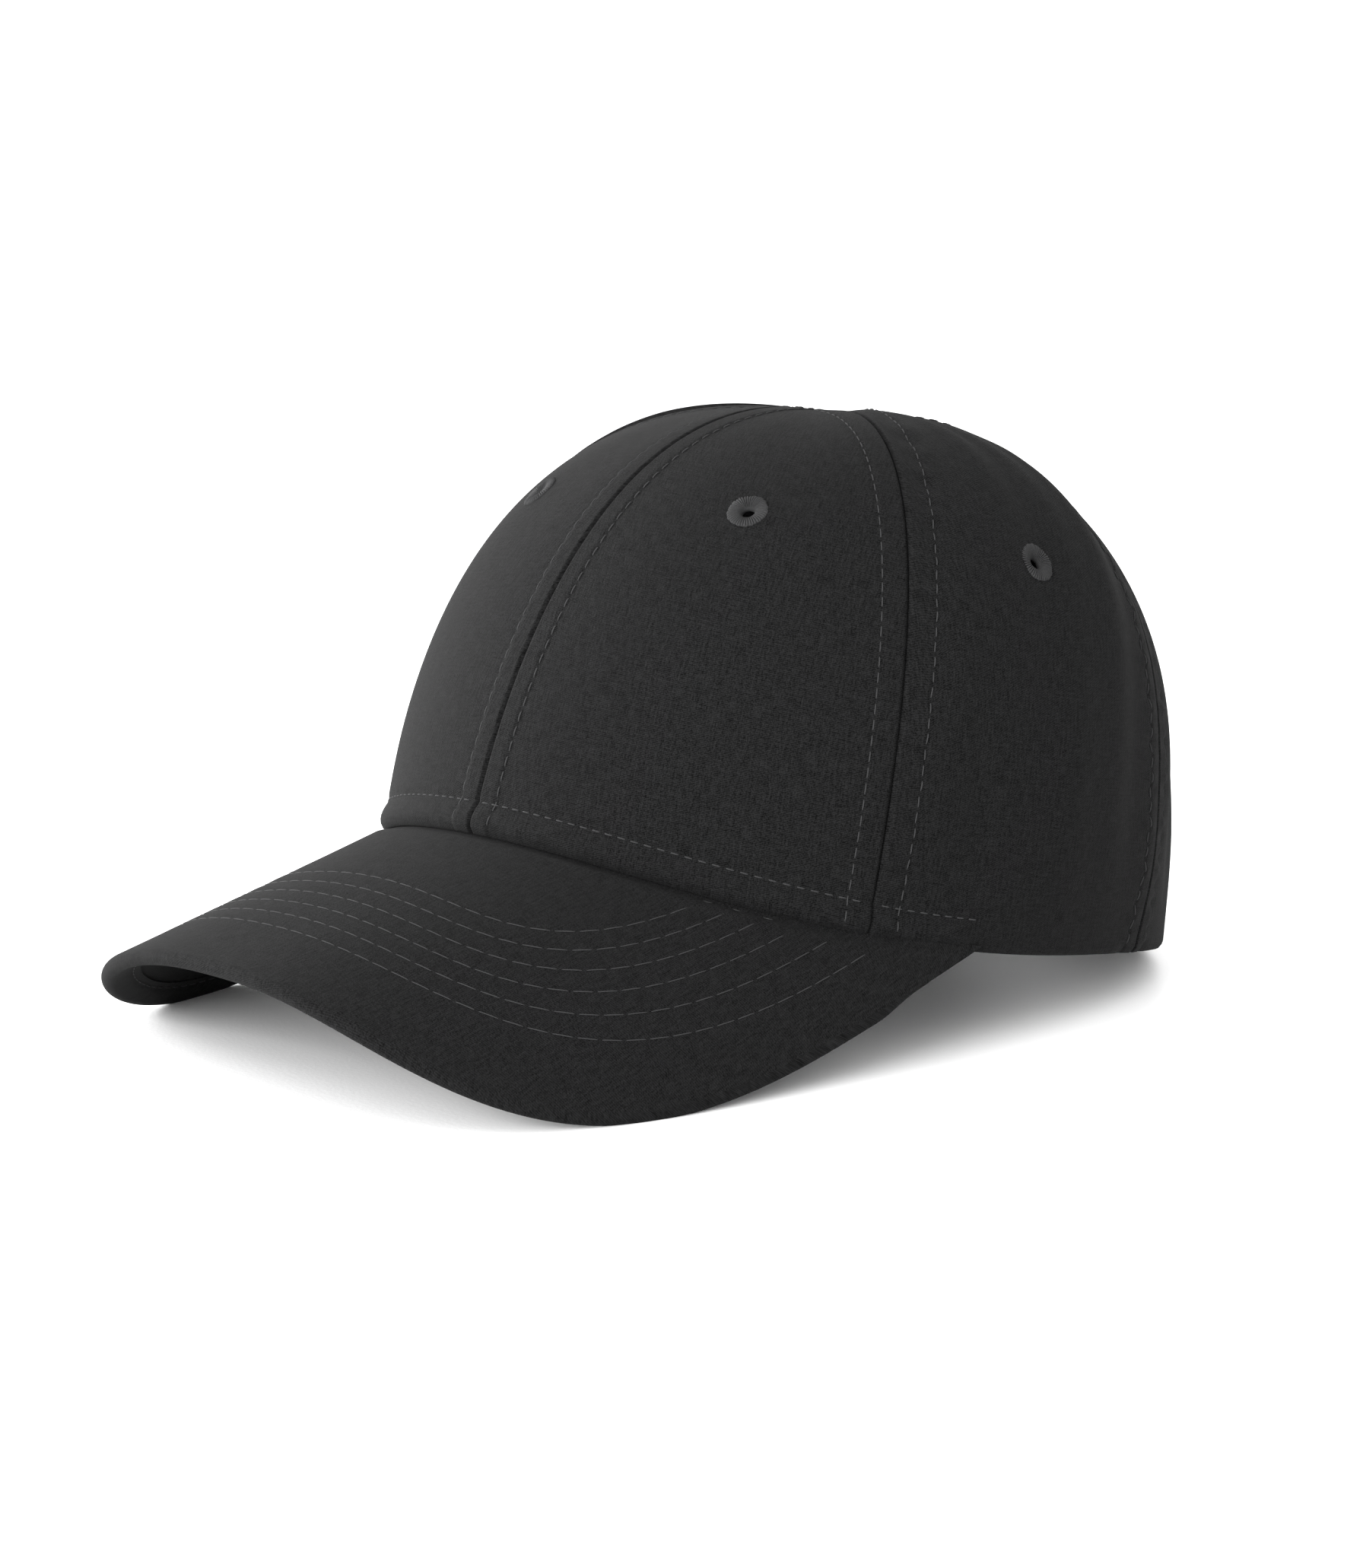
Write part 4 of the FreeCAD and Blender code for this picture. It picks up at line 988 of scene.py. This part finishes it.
def make_binding():
    """Tape round the arch: its section folds over the cut edge and lies flat inside the panels.

    The path is the arch's outline. Section: a hook from the outside, round the edge, to the full
    width of the tape on the inside.
    """
    s, w = sizes("closure"), sizes("sewing")
    leg = np.linspace(0.0012, s.spring, 24)[:-1]
    arc = np.linspace(0, math.pi, 150)
    x = np.concatenate([np.full(23, s.half_width), s.half_width * np.cos(arc), np.full(23, -s.half_width)])
    z = np.concatenate([leg, s.spring + s.half_width * np.sin(arc), leg[::-1]])
    out = np.stack([x, np.where(z > s.spring, z - s.spring, 0.0)], -1) / s.half_width
    # section: away from the edge along the cloth, and depth into the crown, in mm
    profile = np.array([(3.2, -0.15), (3.2, -0.45), (2.9, -0.6), (0.2, -0.7), (-0.5, -0.5), (-0.8, 0.0),
                        (-0.85, 0.7), (-0.5, 1.35), (0.2, 1.65), (6.0, 1.65), (8.4, 1.6), (8.7, 1.35),
                        (8.4, 1.1), (0.4, 1.05), (0.1, 0.8), (0.1, 0.1), (0.6, -0.05)]) / 1000
    wide = np.where(z < s.strap_low + s.strap_width + 0.002, 0.42, 1.0)
    wide = np.convolve(np.pad(wide, 6, "edge"), np.ones(13) / 13, "valid")
    reach = np.where(profile[:, 0] > 0.0034, profile[:, 0] * wide[:, None], profile[:, 0])
    edge_x = x[:, None] + out[:, :1] * reach
    edge_z = z[:, None] + out[:, 1:] * reach
    turns, shares = rear_place(edge_x, edge_z)
    rings = on_crown(turns, shares, -np.repeat(profile[None, :, 1], len(x), 0))
    along = np.repeat(lengths(np.stack([x, z], -1))[:, None], len(profile), 1)
    uv = np.stack([along, reach], -1)
    piece = tube("rear_arch_binding_tape", rings, lining_material(), uv=uv, sharp=60)
    dress("rear_arch_binding")
    runs = []
    turns, shares = rear_place(x + out[:, 0] * 0.0022, z + out[:, 1] * 0.0022)
    runs.append((on_crown(turns, shares, np.full(turns.shape, 0.0006)), crown_normal(turns, shares)))
    stitches("rear_arch_stitches", runs, w.dash, w.pitch, w.thread)


def rear_place(x, z):
    """Turn and share of the crown's back at a distance across and a height, by repeated correction.

    The turn is the arctangent of the distance across and the depth there, and the share follows
    from the height above the base edge.
    """
    turns = np.pi - np.arcsin(np.clip(x / sizes("crown").rear_depth, -1, 1))
    for _ in range(12):
        shares = share_at(turns, np.maximum(z - base_level(turns), 0))
        radius = plan_radius(turns, shares)
        turns = np.pi - np.arcsin(np.clip(x / radius, -1, 1))
    return turns, shares


def metal_copy(node, name, body, width):
    """Copy of a metal node with its doubles merged, its flats joined and its edges rounded."""
    source = frame["nodes"][node]
    mesh = source.data.copy()
    mesh.name = name
    work = bmesh.new()
    work.from_mesh(mesh)
    bmesh.ops.remove_doubles(work, verts=work.verts, dist=1e-6)
    bmesh.ops.dissolve_limit(work, angle_limit=math.radians(2), verts=work.verts, edges=work.edges)
    work.to_mesh(mesh)
    work.free()
    mesh.materials.clear()
    mesh.materials.append(metal_material())
    mesh.shade_smooth()
    mesh.set_sharp_from_angle(angle=math.radians(35))
    piece = bpy.data.objects.new(name, mesh)
    link(piece)
    bevel = piece.modifiers.new("rounded", "BEVEL")
    bevel.width = width
    bevel.segments = 3
    bevel.limit_method = "ANGLE"
    bevel.angle_limit = math.radians(35)
    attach(piece, body)
    dress(node)
    return piece


# ---------------------------------------------------------------- materials


class Nodes:
    """Node tree of one material, with short calls for making and joining nodes."""

    def __init__(self, name):
        self.material = bpy.data.materials.new(name)
        self.material.use_nodes = True
        self.tree = self.material.node_tree
        self.shader = next(node for node in self.tree.nodes if node.type == "BSDF_PRINCIPLED")

    def add(self, kind, inputs=None, **values):
        """New node with its fields set; an input is a plain value or another node's socket."""
        node = self.tree.nodes.new(kind)
        for key, value in values.items():
            setattr(node, key, value)
        for key, value in (inputs or {}).items():
            self.set(node.inputs[key], value)
        return node

    def set(self, socket, value):
        """Socket joined to another, or given a plain value."""
        if isinstance(value, bpy.types.NodeSocket):
            self.tree.links.new(value, socket)
        else:
            socket.default_value = value

    def sum(self, operation, first, second):
        """Result of a Math node."""
        return self.add("ShaderNodeMath", {0: first, 1: second}, operation=operation).outputs[0]

    def mapped(self, source, scale, rotation=(0, 0, 0)):
        """Coordinates turned and then scaled."""
        turned = self.add("ShaderNodeMapping", {"Vector": source, "Rotation": rotation}).outputs[0]
        return self.add("ShaderNodeMapping", {"Vector": turned, "Scale": scale}).outputs[0]

    def noise(self, source, scale, detail=2.0, roughness=0.5):
        """Noise at a scale in cells for each unit of its coordinates."""
        node = self.add("ShaderNodeTexNoise", {"Vector": source, "Scale": scale, "Detail": detail,
                                               "Roughness": roughness})
        return node.outputs["Fac"]

    def mix(self, share, first, second):
        """Colour between two."""
        node = self.add("ShaderNodeMix", {0: share, 6: first, 7: second}, data_type="RGBA")
        return node.outputs[2]

    def ramp(self, value, low, high):
        """Value stretched so that low gives 0 and high gives 1, held at both ends."""
        return self.add("ShaderNodeMapRange", {0: value, 1: low, 2: high}).outputs[0]

    def coords(self, kind):
        """Object coordinates or the piece's own map."""
        return self.add("ShaderNodeTexCoord").outputs[kind]

    def finish(self, colour, height, strength, distance, roughness):
        """Sets the colour, the bump of a height and the roughness, and gives the material."""
        lump = self.add("ShaderNodeBump", {"Height": height, "Strength": strength, "Distance": distance})
        for name, value in (("Base Color", colour), ("Normal", lump.outputs[0]), ("Roughness", roughness)):
            self.set(self.shader.inputs[name], value)
        return self.material


def cached(build):
    """Makes a material once for each use and gives the same one to every piece that asks."""
    made = {}

    def get(*use):
        if use not in made:
            made[use] = build(*use)
        return made[use]
    return get


def rgba(values, share=1.0):
    """Colour with full opacity, darker or lighter by a share."""
    return (*(share * value for value in values), 1.0)


def woven(name, dark, light, rib, slub, contrast, roughness):
    """Twill: diagonal ribs crossed by the warp, uneven yarns along the map, and fine fibre noise.

    Ribs are a sine wave of the turned map. Slubs are noise drawn out along one direction of the
    map, and both mix a darker and a lighter colour and lift the surface.
    """
    n = Nodes(name)
    source = n.coords("UV")
    turned = n.mapped(source, (1, 1, 1), (0, 0, math.radians(62)))
    wave = n.add("ShaderNodeTexWave", {"Vector": turned, "Scale": TAU / 20 / rib, "Distortion": 0.8,
                                       "Detail": 1.0, "Detail Scale": 2.0}).outputs["Fac"]
    warp = n.noise(n.mapped(source, (1.0, 0.16, 1.0)), 1 / slub, 3.0, 0.6)
    weft = n.noise(n.mapped(source, (0.14, 1.0, 1.0)), 1 / slub, 3.0, 0.6)
    fibre = n.noise(source, 2600.0, 2.0, 0.7)
    yarn = n.sum("ADD", n.sum("MULTIPLY", warp, 0.6), n.sum("MULTIPLY", weft, 0.4))
    mottled = n.ramp(yarn, 0.5 - 0.22 / contrast, 0.5 + 0.22 / contrast)
    grain = n.ramp(n.sum("ADD", n.sum("MULTIPLY", wave, 0.12), n.sum("MULTIPLY", fibre, 0.88)), 0.40, 0.60)
    share = n.sum("ADD", n.sum("MULTIPLY", mottled, 0.42), n.sum("MULTIPLY", grain, 0.58))
    height = n.sum("ADD", n.sum("MULTIPLY", wave, 0.25), n.sum("ADD", n.sum("MULTIPLY", yarn, 1.4), fibre))
    n.set(n.shader.inputs["Specular IOR Level"], 0.05)
    n.set(n.shader.inputs["Sheen Weight"], 0.01)
    return n.finish(n.mix(share, rgba(dark), rgba(light)), height, 0.9, 0.00016, roughness)


@cached
def twill_material(use):
    """Outer cloth of the crown, visor or strap."""
    c = sizes("colours")
    return woven(use + "_cloth_twill", c.cloth, c.slub, 0.00046, 0.00060, 1.9, 0.9)


@cached
def lining_material():
    """Lining cloth, finer and plainer."""
    c = sizes("colours")
    return woven("lining_twill", c.lining, [2.2 * value for value in c.lining], 0.0007, 0.0006, 1.0, 0.88)


@cached
def buckram_material():
    """Open weave: two crossed waves whose product leaves small square holes, darker than the yarns."""
    n = Nodes("buckram_weave")
    wave = {"Vector": n.coords("UV"), "Scale": TAU / 20 / 0.0011}
    along, across = (n.add("ShaderNodeTexWave", wave, bands_direction=way).outputs["Fac"] for way in "XY")
    yarns = n.sum("MAXIMUM", along, across)
    base = sizes("colours").buckram
    return n.finish(n.mix(yarns, rgba(base, 0.35), rgba(base)), yarns, 1.0, 0.0002, 0.9)


@cached
def thread_material():
    """Spun thread: fine noise in colour and height."""
    n = Nodes("sewing_thread")
    fibre = n.noise(n.coords("Object"), 3500.0, 2.0, 0.7)
    base = sizes("colours").thread
    n.set(n.shader.inputs["Specular IOR Level"], 0.08)
    return n.finish(n.mix(fibre, rgba(base, 0.55), rgba(base, 1.35)), fibre, 0.6, 0.00008, 0.8)


@cached
def metal_material():
    """Brushed metal: fine lines along the strap in roughness and height, worn lighter in patches."""
    n = Nodes("antique_nickel")
    source = n.coords("Object")
    lines = n.noise(n.mapped(source, (0.04, 1.0, 1.0)), 9000.0, 2.0, 0.6)
    patches = n.noise(source, 380.0, 3.0, 0.6)
    base = sizes("colours").metal
    worn = n.mix(n.ramp(patches, 0.35, 0.7), rgba(base, 0.6), rgba(base))
    n.set(n.shader.inputs["Metallic"], 1.0)
    return n.finish(worn, lines, 0.35, 0.00003, n.sum("ADD", n.sum("MULTIPLY", lines, 0.22), 0.24))


@cached
def board_material():
    """Moulded board with a fine grain."""
    n = Nodes("moulded_board")
    grain = n.noise(n.coords("Object"), 1400.0, 3.0)
    base = sizes("colours").board
    return n.finish(n.mix(grain, rgba(base, 0.7), rgba(base, 1.3)), grain, 0.4, 0.0001, 0.55)


@cached
def floor_material():
    """Pale matte floor."""
    n = Nodes("studio_floor")
    grain = n.noise(n.coords("Object"), 900.0, 2.0)
    base = sizes("colours").floor
    return n.finish(n.mix(grain, rgba(base, 0.97), rgba(base)), grain, 0.1, 0.0004, 0.45)


def paint(piece, material):
    """Gives a node its only material."""
    piece.data.materials.clear()
    piece.data.materials.append(material)


# ---------------------------------------------------------------- stage


def direction(azimuth, elevation):
    """Towards a place round the cap: azimuth 0 is in front, on -Y, and 90 is on +X."""
    around, up = math.radians(azimuth), math.radians(elevation)
    return Vector((math.sin(around) * math.cos(up), -math.cos(around) * math.cos(up), math.sin(up)))


def area_light(name, azimuth, elevation, distance, size, power):
    """Square soft light that looks at the cap."""
    back = direction(azimuth, elevation)
    data = bpy.data.lights.new(name, "AREA")
    data.shape = "SQUARE"
    data.size = size
    data.energy = power
    light = bpy.data.objects.new(name, data)
    light.location = back * distance + Vector((0, 0, 0.05))
    light.rotation_euler = back.to_track_quat("Z", "Y").to_euler()
    link(light)


CAMERA_TURN, CAMERA_RISE, CAMERA_ROLL = 47.85, 9.597, -0.545  # degrees
CAMERA_DISTANCE, CAMERA_LENS = 0.84668, 84.142  # metres; mm on the 36 mm long side
CAMERA_TARGET = (0.008642, -0.007051, 0.052391)


def make_camera():
    """Camera on a line from its target: turned from the front, raised, and rolled a little."""
    back = direction(CAMERA_TURN, CAMERA_RISE)
    data = bpy.data.cameras.new("camera")
    data.lens = CAMERA_LENS
    data.sensor_width = 36
    data.clip_start = 0.01
    camera = bpy.data.objects.new("camera", data)
    facing = back.to_track_quat("Z", "Y").to_matrix().to_4x4()
    facing = facing @ Matrix.Rotation(math.radians(CAMERA_ROLL), 4, "Z")
    camera.matrix_world = Matrix.Translation(Vector(CAMERA_TARGET) + back * CAMERA_DISTANCE) @ facing
    link(camera)
    bpy.context.scene.camera = camera


def make_floor():
    """Floor far wider than the cap, so that its edge meets the horizon."""
    part = np.linspace(-1, 1, 81)
    x, y = np.meshgrid(60 * part ** 3, 60 * part ** 3, indexing="ij")
    points = np.stack([x, y, 0 * x], -1)
    mesh = bpy.data.meshes.new("studio_floor")
    mesh.from_pydata(points.reshape(-1, 3).tolist(), [], grid_faces(81, 81).tolist())
    mesh.shade_smooth()
    mesh.materials.append(floor_material())
    floor = bpy.data.objects.new("studio_floor", mesh)
    link(floor)


def make_world():
    """Even white surroundings, shown without a film curve."""
    world = bpy.data.worlds.new("studio")
    bpy.context.scene.world = world
    world.use_nodes = True
    background = world.node_tree.nodes["Background"]
    background.inputs["Color"].default_value = (1.0, 1.0, 1.0, 1.0)
    background.inputs["Strength"].default_value = 1.75
    bpy.context.scene.view_settings.view_transform = "Standard"


# ---------------------------------------------------------------- operators


class CAP_OT_panels(Operator):
    """Six crown panels"""
    bl_idname = "cap.panels"
    bl_label = "Crown Panels"

    def execute(self, context):
        for name, start, end, eyelet_turn, eyelet_share in PANELS:
            make_panel(name, start, end, eyelet_turn, eyelet_share, twill_material("crown"))
        return {"FINISHED"}


class CAP_OT_eyelets(Operator):
    """Embroidered eyelet in each panel"""
    bl_idname = "cap.eyelets"
    bl_label = "Eyelets"

    def execute(self, context):
        for panel in PANELS:
            make_eyelet(*panel)
        return {"FINISHED"}


class CAP_OT_stitching(Operator):
    """Topstitching of the crown"""
    bl_idname = "cap.stitching"
    bl_label = "Crown Stitching"

    def execute(self, context):
        make_crown_stitches()
        return {"FINISHED"}


class CAP_OT_linings(Operator):
    """Buckram, seam tapes and sweatband"""
    bl_idname = "cap.linings"
    bl_label = "Linings"

    def execute(self, context):
        make_linings()
        make_sweatband()
        return {"FINISHED"}


class CAP_OT_visor(Operator):
    """Visor covers, board and stitch rows"""
    bl_idname = "cap.visor"
    bl_label = "Visor"

    def execute(self, context):
        make_visor_covers()
        make_visor_stitches()
        return {"FINISHED"}


class CAP_OT_closure(Operator):
    """Arch binding, strap, tab and buckle"""
    bl_idname = "cap.closure"
    bl_label = "Closure"

    def execute(self, context):
        make_binding()
        make_strap()
        metal_copy("buckle_base", "buckle_base_metal", "crown", 0.0002)
        metal_copy("buckle_pin", "buckle_pin_metal", "crown", 0.00015)
        metal_copy("buckle_lever", "buckle_lever_metal", "lever", 0.00025)
        return {"FINISHED"}


class CAP_OT_stage(Operator):
    """Floor, surroundings, lights and camera"""
    bl_idname = "cap.stage"
    bl_label = "Stage"

    def execute(self, context):
        make_world()
        make_floor()
        area_light("key_light", -68, 10, 1.5, 0.8, 52)
        area_light("fill_light", 12, 12, 1.8, 1.2, 60)
        make_camera()
        return {"FINISHED"}


OPERATORS = (CAP_OT_panels, CAP_OT_eyelets, CAP_OT_stitching, CAP_OT_linings, CAP_OT_visor, CAP_OT_closure,
             CAP_OT_stage)
GROUPS = {"cap_crown": CapCrown, "cap_sewing": CapSewing, "cap_visor": CapVisor, "cap_closure": CapClosure,
          "cap_colours": CapColours}


class CAP_PT_builder(Panel):
    """Lists the builders"""
    bl_idname = "CAP_PT_builder"
    bl_label = "Baseball Cap"
    bl_space_type = "VIEW_3D"
    bl_region_type = "UI"
    bl_category = "Cap"

    def draw(self, context):
        for operator in OPERATORS:
            self.layout.operator(operator.bl_idname)


def register():
    """Registers the groups, operators and panel, and hangs the groups on the scene."""
    for item in (*GROUPS.values(), *OPERATORS, CAP_PT_builder):
        bpy.utils.register_class(item)
    for name, group in GROUPS.items():
        setattr(bpy.types.Scene, name, PointerProperty(type=group))


def unregister():
    """Takes everything away again."""
    for name in GROUPS:
        delattr(bpy.types.Scene, name)
    for item in (CAP_PT_builder, *OPERATORS[::-1], *list(GROUPS.values())[::-1]):
        bpy.utils.unregister_class(item)


def main():
    """Builds everything in order."""
    register()
    for operator in OPERATORS:
        group, action = operator.bl_idname.split(".")
        getattr(getattr(bpy.ops, group), action)()


if __name__ == "__main__":
    main()
